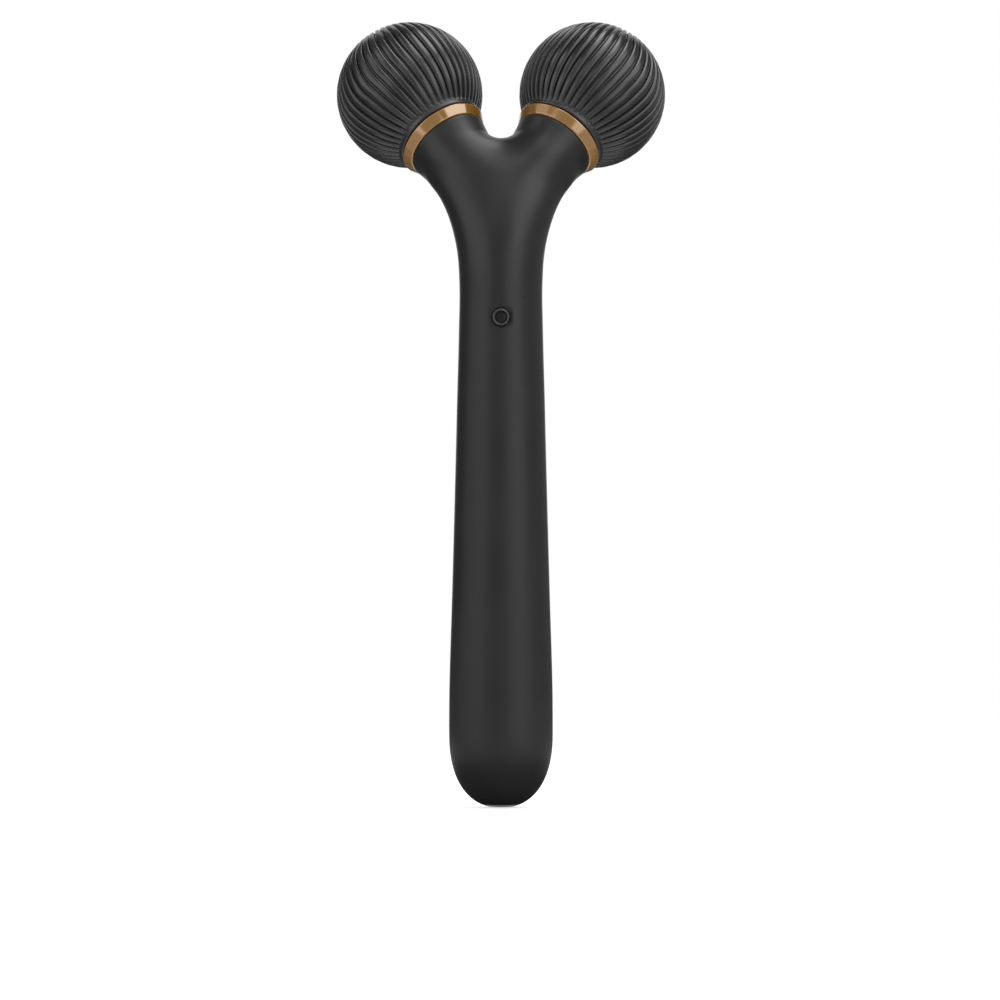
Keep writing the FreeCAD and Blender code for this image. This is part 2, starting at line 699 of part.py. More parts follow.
keep("motor_weight", cut("motor_weight", weight_solid, weight_bore))

# Charging insert, contacts and magnets

port_block = obround("port_block", "port_half_width", size("port_back"), "port_thickness")
pins = []
pin_holes = []
magnets = []
for index, sign in enumerate((-1, 1)):
    up = size("port_height") + sign * size("pin_half_pitch")
    pins.append(along_y("charge_pin_%d" % index, 0, size("pin_back"), up, "pin_radius",
                        "port_face - pin_back"))
    pin_holes.append(along_y("charge_pin_hole_%d" % index, 0, size("port_back"), up, "pin_radius",
                             "port_thickness"))
    up = size("port_height") + sign * size("magnet_half_pitch")
    magnets.append(along_y("charge_magnet_%d" % index, 0, size("port_back") - size("magnet_thickness"), up,
                           "magnet_radius", "magnet_thickness"))
keep("charge_port", cut("charge_port", port_block, group("charge_pin_holes", pin_holes)))
keep("charge_pins", group("charge_pins", pins))
keep("charge_magnets", group("charge_magnets", magnets))

# Leads: round wire in straight runs with a ball at each corner


def lead(name, points):
    corners = [FreeCAD.Vector(*point) for point in points]
    items = []
    for index, (start, end) in enumerate(zip(corners, corners[1:])):
        run = end - start
        place = FreeCAD.Placement(start, FreeCAD.Rotation(Z_AXIS, run))
        item = solid("Cylinder", "%s_run_%d" % (name, index), place, Radius="lead_radius")
        item.Height = run.Length
        items.append(item)
    for index, corner in enumerate(corners[1:-1]):
        items.append(solid("Sphere", "%s_corner_%d" % (name, index), at(*corner), Radius="lead_radius"))
    return fuse(name, items) if len(items) > 1 else items[0]


socket_low = size("socket_low")
socket_front = size("board_face") + size("socket_depth") / 2
front_lead = size("battery_shift") + size("battery_radius") + size("lead_radius") + size("lead_skin_gap")
tab_front = size("battery_shift") + size("tab_width") / 2
tab_low = size("battery_low") - size("tab_thickness") - size("lead_radius")
half_pitch = size("battery_lead_half_pitch")
keep("battery_leads", group("battery_leads", [
    lead("top_lead", ((half_pitch, -tab_front, size("battery_high") + size("tab_thickness")),
                      (half_pitch, -tab_front, socket_low))),
    lead("bottom_lead", ((0, -tab_front, tab_low), (0, -front_lead, tab_low),
                         (0, -front_lead, size("battery_high") + size("lead_lift")),
                         (-half_pitch, -socket_front, socket_low - size("lead_drop") / 2),
                         (-half_pitch, -socket_front, socket_low)))]))
charge_leads = []
for side, sign in SIDES:
    up = size("port_height") + sign * size("pin_half_pitch")
    charge_leads.append(lead(side + "_charge_lead", (
        (0, size("pin_back"), up),
        (0, size("pin_back") - size("pin_tail"), up),
        (sign * size("side_lead_out"), -size("side_lead_front"), size("port_height") + size("lead_lift")),
        (sign * size("side_lead_out"), -size("side_lead_front"), size("board_low") - size("lead_lift")),
        (sign * (size("board_width") / 2 - size("lead_radius")), -size("board_face") - size("lead_radius"),
         size("board_low") + size("lead_lift")))))
keep("charge_leads", group("charge_leads", charge_leads))
motor_leads = []
for side, sign in SIDES:
    across = sign * size("motor_lead_half_pitch")
    front = -size("board_face") - size("lead_radius")
    motor_leads.append(lead(side + "_motor_lead", ((across, front, size("board_high") - size("lead_drop")),
                                                   (across, front, size("motor_low")))))
keep("motor_leads", group("motor_leads", motor_leads))

# Yoke with a bored end for each axle, flats for its screws


def screw(name, place, reach):
    """Screw whose head sits on the local zero plane and points along +Z."""
    turned = lathe(name + "_turned", place, (
        ("0", "0 - " + reach), ("screw_radius", "0 - " + reach), ("screw_radius", "0"),
        ("screw_head_radius", "0"), ("screw_head_radius", "screw_head"), ("0", "screw_head")))
    slot = solid("Box", name + "_slot", place.multiply(at(
        -size("screw_head_radius"), -size("screw_slot") / 2, size("screw_head") - size("screw_slot_depth"))),
        Length="2 * screw_head_radius", Width="screw_slot", Height="screw_slot_depth")
    return cut(name, turned, slot)


yoke_bar = fuse("yoke_bar", [bend("yoke_bend", "yoke_radius")]
                + [arm_cylinder(side + "_yoke_end", sign, "yoke_radius", "bend_run", "plug_run")
                   for side, sign in SIDES])
yoke_cuts = []
yoke_screws = []
chassis_screws = []
for side, sign in SIDES:
    yoke_cuts.append(arm_cylinder(side + "_axle_bore", sign, "axle_radius", "axle_run", "plug_run"))
    across = sign * size("yoke_screw_half_pitch")
    yoke_cuts.append(in_head(side + "_yoke_hole", across, -size("yoke_flat"), size("yoke_level"),
                             "screw_radius", "2 * yoke_flat"))
    forward = FreeCAD.Rotation(Z_AXIS, -Y_AXIS)
    yoke_screws.append(screw(side + "_yoke_screw", head_place.multiply(
        at(across, -size("yoke_flat"), size("yoke_level"), forward)), "(2 * yoke_flat + yoke_screw_reach)"))
    chassis_screws.append(screw(side + "_chassis_screw", at(
        sign * size("post_half_pitch"), size("board_back"), size("post_height"), forward),
        "(plate_thickness + post_screw_reach)"))
for name, front in (("yoke_front_flat", -size("yoke_flat") - size("yoke_radius")),
                    ("yoke_back_flat", size("yoke_flat"))):
    corner = at(-size("yoke_flat_half_width"), front, size("yoke_level") - size("yoke_radius"))
    yoke_cuts.append(solid("Box", name, head_place.multiply(corner), Length="2 * yoke_flat_half_width",
                           Width="yoke_radius", Height="2 * yoke_radius"))
keep("axle_yoke", cut("axle_yoke", yoke_bar, fuse("yoke_cuts", yoke_cuts)))
keep("yoke_screws", group("yoke_screws", yoke_screws))
keep("chassis_screws", group("chassis_screws", chassis_screws))


# Arm fittings and balls


def ball_slab(name, sign, radius, low, high):
    """Part of a ball between two runs."""
    ball = solid("Sphere", name + "_ball", arm_place(sign, size("ball_run")), Radius=radius)
    slab = solid("Cylinder", name + "_slab", arm_place(sign, low), Radius="ball_radius + overrun")
    slab.Height = high - low
    return common(name, [ball, slab])


def grooves(side, sign):
    """Ring segments that leave the ribs of a ball standing; they run out towards the far pole."""
    rim = math.sqrt(size("ball_radius") ** 2 - size("groove_offset") ** 2)
    middle = rim - size("groove_depth") + size("groove_radius")
    end = rim + size("groove_radius") + size("groove_rise")
    fade = math.cos(math.radians(size("groove_fade")))
    shift = (end ** 2 - middle ** 2) / (2 * (end * fade - middle))
    half_sweep = size("groove_sweep") / 2
    step = 360 / round(size("rib_count"))
    items = []
    for index in range(round(size("rib_count"))):
        spot = at(0, 0, 0, FreeCAD.Rotation(Z_AXIS, step * index))
        tilt = at(0, 0, 0, FreeCAD.Rotation(X_AXIS, -sign * size("groove_tilt")))
        plane = at(0, -sign * size("groove_offset"), 0, FreeCAD.Rotation(X_AXIS, 90))
        start = at(shift, 0, 0, FreeCAD.Rotation(Z_AXIS, -half_sweep))
        place = arm_place(sign, size("ball_run"))
        for step_place in (spot, tilt, plane, start):
            place = place.multiply(step_place)
        item = solid("Torus", "%s_groove_%d" % (side, index), place,
                     Radius2="groove_radius", Angle3="groove_sweep")
        item.Radius1 = middle - shift
        items.append(item)
    return group(side + "_grooves", items)


def ball_side(side, sign):
    """All pieces that come once on each arm."""
    place = arm_place(sign)
    far = size("ball_run") + size("ball_radius") + size("overrun")
    keep(side + "_arm_plug", lathe(side + "_arm_plug", place, (
        ("axle_radius", "plug_run"), ("plug_radius", "plug_run"), ("plug_radius", "arm_end_run"),
        ("plug_seat_radius", "arm_end_run"), ("plug_seat_radius", "collar_run"),
        ("spigot_radius", "collar_run"), ("spigot_radius", "plug_face_run"),
        ("axle_radius", "plug_face_run"))))
    keep(side + "_collar_ring", lathe(side + "_collar_ring", place, (
        ("spigot_radius", "collar_run"), ("collar_low_radius - collar_edge", "collar_run"),
        ("collar_low_radius", "collar_run + collar_edge"),
        ("collar_high_radius", "collar_end_run - collar_edge"),
        ("collar_high_radius - collar_edge", "collar_end_run"), ("spigot_radius", "collar_end_run"))))
    keep(side + "_axle", lathe(side + "_axle", place, (
        ("0", "axle_run"), ("axle_radius", "axle_run"), ("axle_radius", "clip_run"),
        ("axle_groove_radius", "clip_run"), ("axle_groove_radius", "clip_run + clip_thickness"),
        ("axle_radius", "clip_run + clip_thickness"), ("axle_radius", "axle_end_run"),
        ("0", "axle_end_run"))))
    keep(side + "_thrust_washer", lathe(side + "_thrust_washer", place, (
        ("axle_radius", "plug_face_run"), ("washer_radius", "plug_face_run"),
        ("washer_radius", "plug_face_run + washer_thickness"),
        ("axle_radius", "plug_face_run + washer_thickness"))))
    keep(side + "_inner_bush", lathe(side + "_inner_bush", place, (
        ("bush_bore", "bush_run"), ("bush_flange_radius", "bush_run"), ("bush_flange_radius", "hub_run"),
        ("bush_radius", "hub_run"), ("bush_radius", "hub_run + bush_length"),
        ("bush_bore", "hub_run + bush_length"))))
    keep(side + "_outer_bush", lathe(side + "_outer_bush", place, (
        ("bush_bore", "hub_end_run - bush_length"), ("bush_radius", "hub_end_run - bush_length"),
        ("bush_radius", "hub_end_run"), ("bush_flange_radius", "hub_end_run"),
        ("bush_flange_radius", "hub_end_run + bush_flange"), ("bush_bore", "hub_end_run + bush_flange"))))
    clip = lathe(side + "_clip_ring", place, (
        ("axle_groove_radius", "clip_run"), ("clip_radius", "clip_run"),
        ("clip_radius", "clip_run + clip_thickness"), ("axle_groove_radius", "clip_run + clip_thickness")))
    mouth = solid("Box", side + "_clip_mouth", arm_place(sign, size("clip_run")).multiply(
        at(0, -size("clip_mouth") / 2, 0)), Length="clip_radius", Width="clip_mouth", Height="clip_thickness")
    keep(side + "_retaining_clip", cut(side + "_retaining_clip", clip, mouth))

    cup = ball_slab(side + "_core_cup", sign, "core_radius", size("base_run"), size("ball_run"))
    cup_space = ball_slab(side + "_core_space", sign, "core_bore_radius",
                          size("base_run") + size("core_wall"), size("ball_run"))
    core_wall = cut(side + "_core_wall", cup, cup_space)
    hub = arm_cylinder(side + "_hub", sign, "hub_radius", "hub_run", "hub_end_run")
    hub_bore = arm_cylinder(side + "_hub_bore", sign, "bush_radius", "hub_run", "hub_end_run")
    core_solid = fuse(side + "_core_solid", [core_wall, hub])
    keep(side + "_ball_core", cut(side + "_ball_core", core_solid, hub_bore))

    dome = ball_slab(side + "_core_dome", sign, "core_radius", size("ball_run"), far)
    dome_space = solid("Sphere", side + "_dome_space", arm_place(sign, size("ball_run")),
                       Radius="core_bore_radius")
    keep(side + "_ball_core_cap", cut(side + "_ball_core_cap", dome, dome_space))

    skin = ball_slab(side + "_skin_outside", sign, "ball_radius", size("base_run"), far)
    skin_space = solid("Sphere", side + "_skin_space", arm_place(sign, size("ball_run")),
                       Radius="core_radius")
    skin_plain = cut(side + "_skin_plain", skin, skin_space)
    keep(side + "_ball_skin", cut(side + "_ball_skin", skin_plain, grooves(side, sign)))
    keep(side + "_ball_base_cap", lathe(side + "_ball_base_cap", place, (
        ("hub_radius + hub_clearance", "rim_run"), ("rim_radius - rim_edge", "rim_run"),
        ("rim_radius", "rim_run + rim_edge"), ("rim_radius", "base_run"),
        ("hub_radius + hub_clearance", "base_run"))))


for side, sign in SIDES:
    ball_side(side, sign)

# Check every object and write one file for each piece

doc.recompute()
for item in doc.Objects:
    faults = [state for state in item.State if state in ("Invalid", "Error")]
    if faults:
        raise RuntimeError("%s did not compute: %s" % (item.Name, faults))
for item in nodes:
    if item.Shape.isNull() or not item.Shape.isValid() or not item.Shape.Solids:
        raise RuntimeError("%s has no sound solid" % item.Label)
    item.Shape.exportStep("parts/%s.step" % item.Label)
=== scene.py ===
import json
import math
import bpy
import numpy as np
from mathutils import Matrix, Vector


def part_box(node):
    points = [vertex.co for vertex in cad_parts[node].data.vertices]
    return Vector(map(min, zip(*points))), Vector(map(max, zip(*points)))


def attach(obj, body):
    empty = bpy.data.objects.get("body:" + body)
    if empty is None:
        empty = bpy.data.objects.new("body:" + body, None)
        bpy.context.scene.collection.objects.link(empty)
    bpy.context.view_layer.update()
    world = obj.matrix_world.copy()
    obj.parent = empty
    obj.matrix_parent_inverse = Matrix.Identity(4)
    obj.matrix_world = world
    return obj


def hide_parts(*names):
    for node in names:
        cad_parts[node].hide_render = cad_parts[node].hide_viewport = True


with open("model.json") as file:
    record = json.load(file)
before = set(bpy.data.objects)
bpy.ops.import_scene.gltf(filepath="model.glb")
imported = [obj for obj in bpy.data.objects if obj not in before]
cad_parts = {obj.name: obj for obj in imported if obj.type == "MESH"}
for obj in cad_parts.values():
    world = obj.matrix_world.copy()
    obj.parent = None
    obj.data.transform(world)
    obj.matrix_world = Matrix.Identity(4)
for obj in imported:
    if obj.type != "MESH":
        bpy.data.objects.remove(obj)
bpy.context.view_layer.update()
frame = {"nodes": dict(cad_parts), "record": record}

# Lengths of the part are in millimetres; its meshes are written in metres.
# The origin is the butt tip, Z runs up the handle, the button faces -Y.
MM = 0.001
JUNCTION_HEIGHT = 124.75
HEAD_LEAN = math.radians(35.8)
ARM_SPLAY = math.radians(31.2)
LEAN_RUN = 15.0
WALL = 1.8
BUTT_HALF_WIDTH = 10.9
BUTT_HALF_DEPTH = 8.4
BUTT_ROUND = 15.5
NECK_HALF_WIDTH = 8.7
NECK_HALF_DEPTH = 8.5
HEAD_HALF_WIDTH = 16.0
HEAD_HALF_DEPTH = 6.6
ARM_RADIUS = 8.1
ARM_END_RADIUS = 8.8
ARM_STRAIGHT = 3.467
BEND_RADIUS = 10.8
BUTTON_HEIGHT = 102.6
BUTTON_HOLE_RADIUS = 1.9
PORT_HEIGHT = 18.0
PORT_HALF_WIDTH = 3.1
PORT_HALF_STRAIGHT = 3.5
COLLAR_RUN = 21.6
COLLAR_WIDTH = 2.3
COLLAR_LOW_RADIUS = 8.85
COLLAR_HIGH_RADIUS = 9.9
COLLAR_EDGE = 0.3
COLLAR_ROUND = 0.22
SPIGOT_RADIUS = 7.2
RIM_HEIGHT = 1.6
RIM_LOW_RADIUS = 9.62
RIM_ROUND = 0.3
RIM_HIGH_RADIUS = 10.242
RIM_BORE = 4.9
BALL_RUN = 37.6
BALL_RADIUS = 15.55
BALL_BASE = 11.7
CORE_RADIUS = 13.0

# Shares that shape the handle from the butt to the arm ends
BUTT_TIP_ANGLE = math.radians(80)
BUTT_POWER_SHARE = 2 / 2.3
GRIP_HEIGHT_SHARES = (0.076, 0.301, 0.527, 0.752, 0.9, 1.0)
GRIP_WIDTH_SHARES = (0.986, 0.724, 0.462, 0.225, 0.061, 0.015)
HEAD_TURN_SHARES = (0.24, 0.388, 0.573, 0.70, 0.80, 0.88)
HEAD_WIDTH_SHARES = (0.0705, 0.187, 0.418, 0.652, 0.88, 1.0)
HEAD_DEPTH_SHARES = (0.0, 0.05, 0.16, 0.32, 0.58, 1.0)
ARM_RUN_SHARES = (-2.0, -1.0, 0.0, 0.35, 0.7, 1.0)
ARM_FLARE_SHARES = (0.0, 0.02, 0.14, 0.36, 0.66, 1.0)

SIDES = (("left", -1), ("right", 1))
LEAN_START = JUNCTION_HEIGHT - LEAN_RUN
LEAN_RADIUS = LEAN_RUN / math.tan(HEAD_LEAN / 2)
BEND_LEVEL = BEND_RADIUS / math.sin(ARM_SPLAY)
BEND_HALF_ANGLE = math.pi / 2 - ARM_SPLAY
TIP_SHARE = math.sin(BUTT_TIP_ANGLE) ** BUTT_POWER_SHARE
BUTT_TOP = BUTT_ROUND * TIP_SHARE
JUNCTION = np.array((0.0, 0.0, JUNCTION_HEIGHT))
ACROSS = np.array((1.0, 0.0, 0.0))
HEAD_UP = np.array((0.0, math.sin(HEAD_LEAN), math.cos(HEAD_LEAN)))
HEAD_BACK = np.array((0.0, math.cos(HEAD_LEAN), -math.sin(HEAD_LEAN)))


# Materials

WHITE = (1, 1, 1, 1)
NOISE_LOW = 0.3
NOISE_HIGH = 0.7
CLOUD_DETAIL = 3.0
GRAIN_DETAIL = 2.0
GRAIN_STRENGTH = 0.3
COLOUR_VARY = 0.12
GLOSS_VARY = 0.05
MIX_FIRST_COLOUR = 6
MIX_SECOND_COLOUR = 7
MIX_COLOUR_RESULT = 2
GOLD_DARK = (0.37, 0.168, 0.012)
GOLD_LIGHT = (0.42, 0.192, 0.018)
GOLD_CLOUD = 6.0
GOLD_GRAIN = 0.35
GOLD_GRAIN_STRENGTH = 0.04
GOLD_GRAIN_DEPTH = 0.02
GOLD_ROUGHNESS = (0.13, 0.2)
GOLD_METALLIC = 0.45
GOLD_COAT_IOR = 2.7
GOLD_COAT_ROUGHNESS = 0.08

# Colour, roughness, cloud size, grain size, grain depth, metallic, specular level
SURFACES = {
    "case_black": ((0.0105, 0.0105, 0.011), 0.38, 18.0, 0.16, 0.010, 0.0, 0.65),
    "inner_plastic": ((0.10, 0.10, 0.105), 0.55, 9.0, 0.3, 0.02, 0.0, 0.5),
    "cell_wrap": ((0.04, 0.11, 0.30), 0.32, 12.0, 0.8, 0.02, 0.0, 0.5),
    "steel": ((0.55, 0.55, 0.56), 0.26, 4.0, 0.2, 0.01, 1.0, 0.5),
    "lead_insulation": ((0.35, 0.02, 0.02), 0.45, 5.0, 0.3, 0.01, 0.0, 0.5),
    "board_green": ((0.012, 0.10, 0.04), 0.38, 3.0, 0.25, 0.015, 0.0, 0.5),
    "chip_black": ((0.015, 0.015, 0.016), 0.5, 2.0, 0.1, 0.01, 0.0, 0.5),
    "lens_smoke": ((0.011, 0.011, 0.012), 0.24, 2.0, 0.1, 0.004, 0.0, 0.4),
    "button_black": ((0.03, 0.03, 0.031), 0.4, 3.0, 0.12, 0.008, 0.0, 0.9),
    "soft_rubber": ((0.02, 0.02, 0.021), 0.7, 3.0, 0.15, 0.02, 0.0, 0.5),
    "rim_black": ((0.02, 0.02, 0.0205), 0.28, 8.0, 0.3, 0.004, 0.0, 1.0),
    "brass_weight": ((0.62, 0.44, 0.16), 0.32, 3.0, 0.2, 0.02, 1.0, 0.5),
    "cast_frame": ((0.42, 0.42, 0.43), 0.48, 5.0, 0.35, 0.04, 1.0, 0.5),
    "bearing_plastic": ((0.70, 0.69, 0.64), 0.42, 4.0, 0.3, 0.01, 0.0, 0.5),
    "ball_black": ((0.015, 0.015, 0.0155), 0.26, 10.0, 0.14, 0.006, 0.0, 1.0),
}


def new_material(name):
    material = bpy.data.materials.new(name)
    material.use_nodes = True
    return material, material.node_tree, material.node_tree.nodes["Principled BSDF"]


def bare_tree(owner):
    """Empty node tree of a new material or world."""
    owner.use_nodes = True
    owner.node_tree.nodes.clear()
    return owner.node_tree


def add_node(tree, kind, inputs=None, **settings):
    node = tree.nodes.new(kind)
    for key, value in settings.items():
        setattr(node, key, value)
    for key, value in (inputs or {}).items():
        if isinstance(value, bpy.types.NodeSocket):
            tree.links.new(value, node.inputs[key])
        else:
            node.inputs[key].default_value = value
    return node


def noise(tree, size, detail):
    """Noise whose grains are about the given size, in the object's own coordinates."""
    place = add_node(tree, "ShaderNodeTexCoord").outputs["Object"]
    node = add_node(tree, "ShaderNodeTexNoise",
                    {"Vector": place, "Scale": 1 / (size * MM), "Detail": detail})
    return node.outputs["Fac"]


def spread(tree, factor, low, high):
    """Maps the usual range of a noise onto two numbers."""
    node = add_node(tree, "ShaderNodeMapRange",
                    {"Value": factor, "From Min": NOISE_LOW, "From Max": NOISE_HIGH,
                     "To Min": low, "To Max": high})
    return node.outputs["Result"]


def blend(tree, factor, first, second):
    """Mixes two colours by the usual range of a noise."""
    node = add_node(tree, "ShaderNodeMix",
                    {"Factor": spread(tree, factor, 0.0, 1.0),
                     MIX_FIRST_COLOUR: (*first, 1), MIX_SECOND_COLOUR: (*second, 1)}, data_type="RGBA")
    return node.outputs[MIX_COLOUR_RESULT]


def bump(tree, shader, height, strength, depth):
    node = add_node(tree, "ShaderNodeBump",
                    {"Height": height, "Strength": strength, "Distance": depth * MM})
    tree.links.new(node.outputs["Normal"], shader.inputs["Normal"])


def shade(colour, share):
    return tuple(part * share for part in colour)


def surface(name, colour, roughness, cloud_size, grain_size, grain_depth, metallic, level):
    """Opaque material with cloudy colour, uneven gloss and a fine grain."""
    material, tree, shader = new_material(name)
    cloud = noise(tree, cloud_size, CLOUD_DETAIL)
    grain = noise(tree, grain_size, GRAIN_DETAIL)
    colours = blend(tree, cloud, shade(colour, 1 - COLOUR_VARY), shade(colour, 1 + COLOUR_VARY))
    tree.links.new(colours, shader.inputs["Base Color"])
    gloss = spread(tree, cloud, roughness - GLOSS_VARY, roughness + GLOSS_VARY)
    tree.links.new(gloss, shader.inputs["Roughness"])
    shader.inputs["Metallic"].default_value = metallic
    shader.inputs["Specular IOR Level"].default_value = level
    bump(tree, shader, grain, GRAIN_STRENGTH, grain_depth)
    return material


def gold_plate():
    """Polished gold-copper plating with a faint grain under a clear coat."""
    material, tree, shader = new_material("gold_plate")
    cloud = noise(tree, GOLD_CLOUD, CLOUD_DETAIL)
    grain = noise(tree, GOLD_GRAIN, GRAIN_DETAIL)
    tree.links.new(blend(tree, cloud, GOLD_DARK, GOLD_LIGHT), shader.inputs["Base Color"])
    tree.links.new(spread(tree, grain, *GOLD_ROUGHNESS), shader.inputs["Roughness"])
    shader.inputs["Metallic"].default_value = GOLD_METALLIC
    shader.inputs["Coat Weight"].default_value = 1.0
    shader.inputs["Coat IOR"].default_value = GOLD_COAT_IOR
    shader.inputs["Coat Roughness"].default_value = GOLD_COAT_ROUGHNESS
    bump(tree, shader, grain, GOLD_GRAIN_STRENGTH, GOLD_GRAIN_DEPTH)
    return material


MATERIALS = {name: surface(name, *row) for name, row in SURFACES.items()}
MATERIALS["gold_plate"] = gold_plate()
NODE_SLOTS = {row["node"]: row["material_slot"] for row in frame["record"]["subparts"]}
for node_name, node in frame["nodes"].items():
    node.data.materials.clear()
    node.data.materials.append(MATERIALS[NODE_SLOTS[node_name]])


# Mesh helpers

SHARP_ANGLE = math.radians(55)
CORNER_LIMIT = 0.45
CORNER_STEPS = 4


def place_piece(name, points, faces, body, slot, replaced):
    """Mesh object from points in millimetres, set on its body in place of solids."""
    mesh = bpy.data.meshes.new(name)
    mesh.from_pydata([tuple(point * MM) for point in np.asarray(points)], [], faces)
    mesh.polygons.foreach_set("use_smooth", [True] * len(mesh.polygons))
    mesh.set_sharp_from_angle(angle=SHARP_ANGLE)
    mesh.materials.append(MATERIALS[slot])
    piece = bpy.data.objects.new(name, mesh)
    bpy.context.collection.objects.link(piece)
    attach(piece, body)
    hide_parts(*replaced)
    return piece


def turned_piece(name, shape, matrix, body, slot, replaced):
    """Piece from turned points and faces, moved into place, with its flat faces kept flat."""
    points, faces = shape
    placed = [np.array(matrix @ Vector(point)) for point in points]
    piece = place_piece(name, placed, faces, body, slot, replaced)
    modifier = piece.modifiers.new("flat faces", "WEIGHTED_NORMAL")
    modifier.keep_sharp = True


def smooth_curve(places, values):
    """Cubic curve through given values, flat outside them."""
    places = np.array(places, dtype=float)
    values = np.array(values, dtype=float)
    slopes = np.gradient(values, places)

    def value(at):
        at = np.clip(at, places[0], places[-1])
        low = np.clip(np.searchsorted(places, at) - 1, 0, len(places) - 2)
        span = places[low + 1] - places[low]
        share = (at - places[low]) / span
        rest = 1 - share
        ends = (1 + 2 * share) * rest ** 2 * values[low] + share ** 2 * (3 - 2 * share) * values[low + 1]
        bends = share * rest ** 2 * slopes[low] - share ** 2 * rest * slopes[low + 1]
        return ends + span * bends
    return value


def ramp(value, low, high):
    """Smooth rise from zero to one between two values."""
    share = min(max((value - low) / (high - low), 0.0), 1.0)
    return share * share * (3 - 2 * share)


def arm_axis(sign):
    return Vector(HEAD_UP) * math.cos(ARM_SPLAY) + Vector(ACROSS) * sign * math.sin(ARM_SPLAY)


def arm_matrix(sign):
    """Frame at the junction whose Z axis runs along an arm."""
    turn = Vector((0, 0, 1)).rotation_difference(arm_axis(sign))
    return Matrix.Translation(Vector(JUNCTION)) @ turn.to_matrix().to_4x4()


def rounded(spots, radius):
    """Closed outline with each corner replaced by a short curve."""
    outline = []
    for index, spot in enumerate(spots):
        corner = np.array(spot, dtype=float)
        before = np.array(spots[index - 1], dtype=float) - corner
        after = np.array(spots[(index + 1) % len(spots)], dtype=float) - corner
        shorter = min(CORNER_LIMIT * np.linalg.norm(before), CORNER_LIMIT * np.linalg.norm(after))
        reach = min(radius, shorter)
        start = corner + before / np.linalg.norm(before) * reach
        end = corner + after / np.linalg.norm(after) * reach
        for step in range(CORNER_STEPS + 1):
            share = step / CORNER_STEPS
            outline.append((1 - share) ** 2 * start + 2 * share * (1 - share) * corner + share ** 2 * end)
    return outline


def ring_faces(rows, width, skipped=(), closed=True):
    """Quads between rows of points; the last row meets the first, and closed rows meet themselves."""
    faces = []
    for row in range(rows):
        if row in skipped:
            continue
        here = row * width
        below = (row + 1) % rows * width
        for column in range(width if closed else width - 1):
            after = (column + 1) % width
            faces.append((here + column, below + column, below + after, here + after))
    return faces


def turned_points(outline, segments):
    """Copies of a (radius, height) outline turned about Z."""
    points = []
    for segment in range(segments):
        angle = 2 * math.pi * segment / segments
        for radius, height in outline:
            points.append((radius * math.cos(angle), radius * math.sin(angle), height))
    return points


def turned_ring(outline, segments):
    """Ring turned about Z from a closed outline."""
    return turned_points(outline, segments), ring_faces(segments, len(outline))


def turned_solid(outline, segments):
    """Solid turned about Z from an open outline that starts and ends on the axis."""
    inner = outline[1:-1]
    count = len(inner)
    points = [(0.0, 0.0, outline[0][1]), (0.0, 0.0, outline[-1][1])]
    points.extend(turned_points(inner, segments))
    faces = []
    for segment in range(segments):
        here = 2 + segment * count
        there = 2 + (segment + 1) % segments * count
        faces.append((0, there, here))
        for index in range(count - 1):
            faces.append((here + index, there + index, there + index + 1, here + index + 1))
        faces.append((1, here + count - 1, there + count - 1))
    return points, faces


# Case: one smooth skin from butt to arm ends, parted into a front and a rear shell

RING_POINTS = 96
HALF_RING = RING_POINTS // 2
FRONT_COLUMN = 3 * RING_POINTS // 4
REAR_COLUMN = RING_POINTS // 4
ARM_POINTS = 64
JOIN_RINGS = 16
JOIN_COLUMNS = 8
JOIN_HALF_ANGLE = math.radians(42)
BEND_END_RINGS = 6
STRAIGHT_RINGS = 4
TIP_RING_SCALES = (0.35, 0.7, 1.0)
BUTT_RINGS = 22
RING_PITCH = 1.0
HANDLE_END_SHARE = 0.44
HANDLE_FREEDOM_RISE = 2
ARM_FREEDOM = 0.02
RELAX_ROUNDS = 80
RELAX_SHARE = 0.5
LAST_SKIN_ROUNDS = 5
SLOPE_STEP = 0.01
SLOPE_FLOOR = 0.05
TINY = 1e-9
FILLET_MIDDLE = 2.4
FILLET_SIDE = 1.1
FILLET_REACH = 15.0
VALLEY_DEPTH = 1.3
VALLEY_WIDTH = 6.0
VALLEY_UP = 5.0
VALLEY_DOWN = 5.8
VALLEY_LEVEL = 10.8
HOLE_RING_SHARES = (0.25, 0.5, 0.65, 0.75, 0.83, 0.9, 0.96, 1.0)
HOLE_DIP_SHARE = 0.55
BUTTON_DIP = 0.3
BUTTON_BLOCK = (4, 7)
PORT_DIP = 0.15
PORT_BLOCK = (10, 8)
SMOOTH_LEVELS = 1
EDGE_BEVEL = 0.12
EDGE_SEGMENTS = 2
EDGE_ANGLE = math.radians(50)
SHELLS = (("case_front", "front_shell", True), ("case_rear", "rear_shell", False))


def between(low, high, shares):
    return [low + (high - low) * share for share in shares]


grip_runs = between(BUTT_TOP, LEAN_START, GRIP_HEIGHT_SHARES)
head_runs = [LEAN_START + LEAN_RADIUS * HEAD_LEAN * share for share in HEAD_TURN_SHARES]
section_runs = [BUTT_TOP] + grip_runs + head_runs
half_width_curve = smooth_curve(
    section_runs,
    [BUTT_HALF_WIDTH] + between(NECK_HALF_WIDTH, BUTT_HALF_WIDTH, GRIP_WIDTH_SHARES)
    + between(NECK_HALF_WIDTH, HEAD_HALF_WIDTH, HEAD_WIDTH_SHARES))
half_depth_curve = smooth_curve(
    section_runs,
    [BUTT_HALF_DEPTH] + between(NECK_HALF_DEPTH, BUTT_HALF_DEPTH, GRIP_WIDTH_SHARES)
    + between(NECK_HALF_DEPTH, HEAD_HALF_DEPTH, HEAD_DEPTH_SHARES))
arm_flare = smooth_curve(
    [ARM_STRAIGHT * share for share in ARM_RUN_SHARES],
    between(ARM_RADIUS, ARM_END_RADIUS, ARM_FLARE_SHARES))


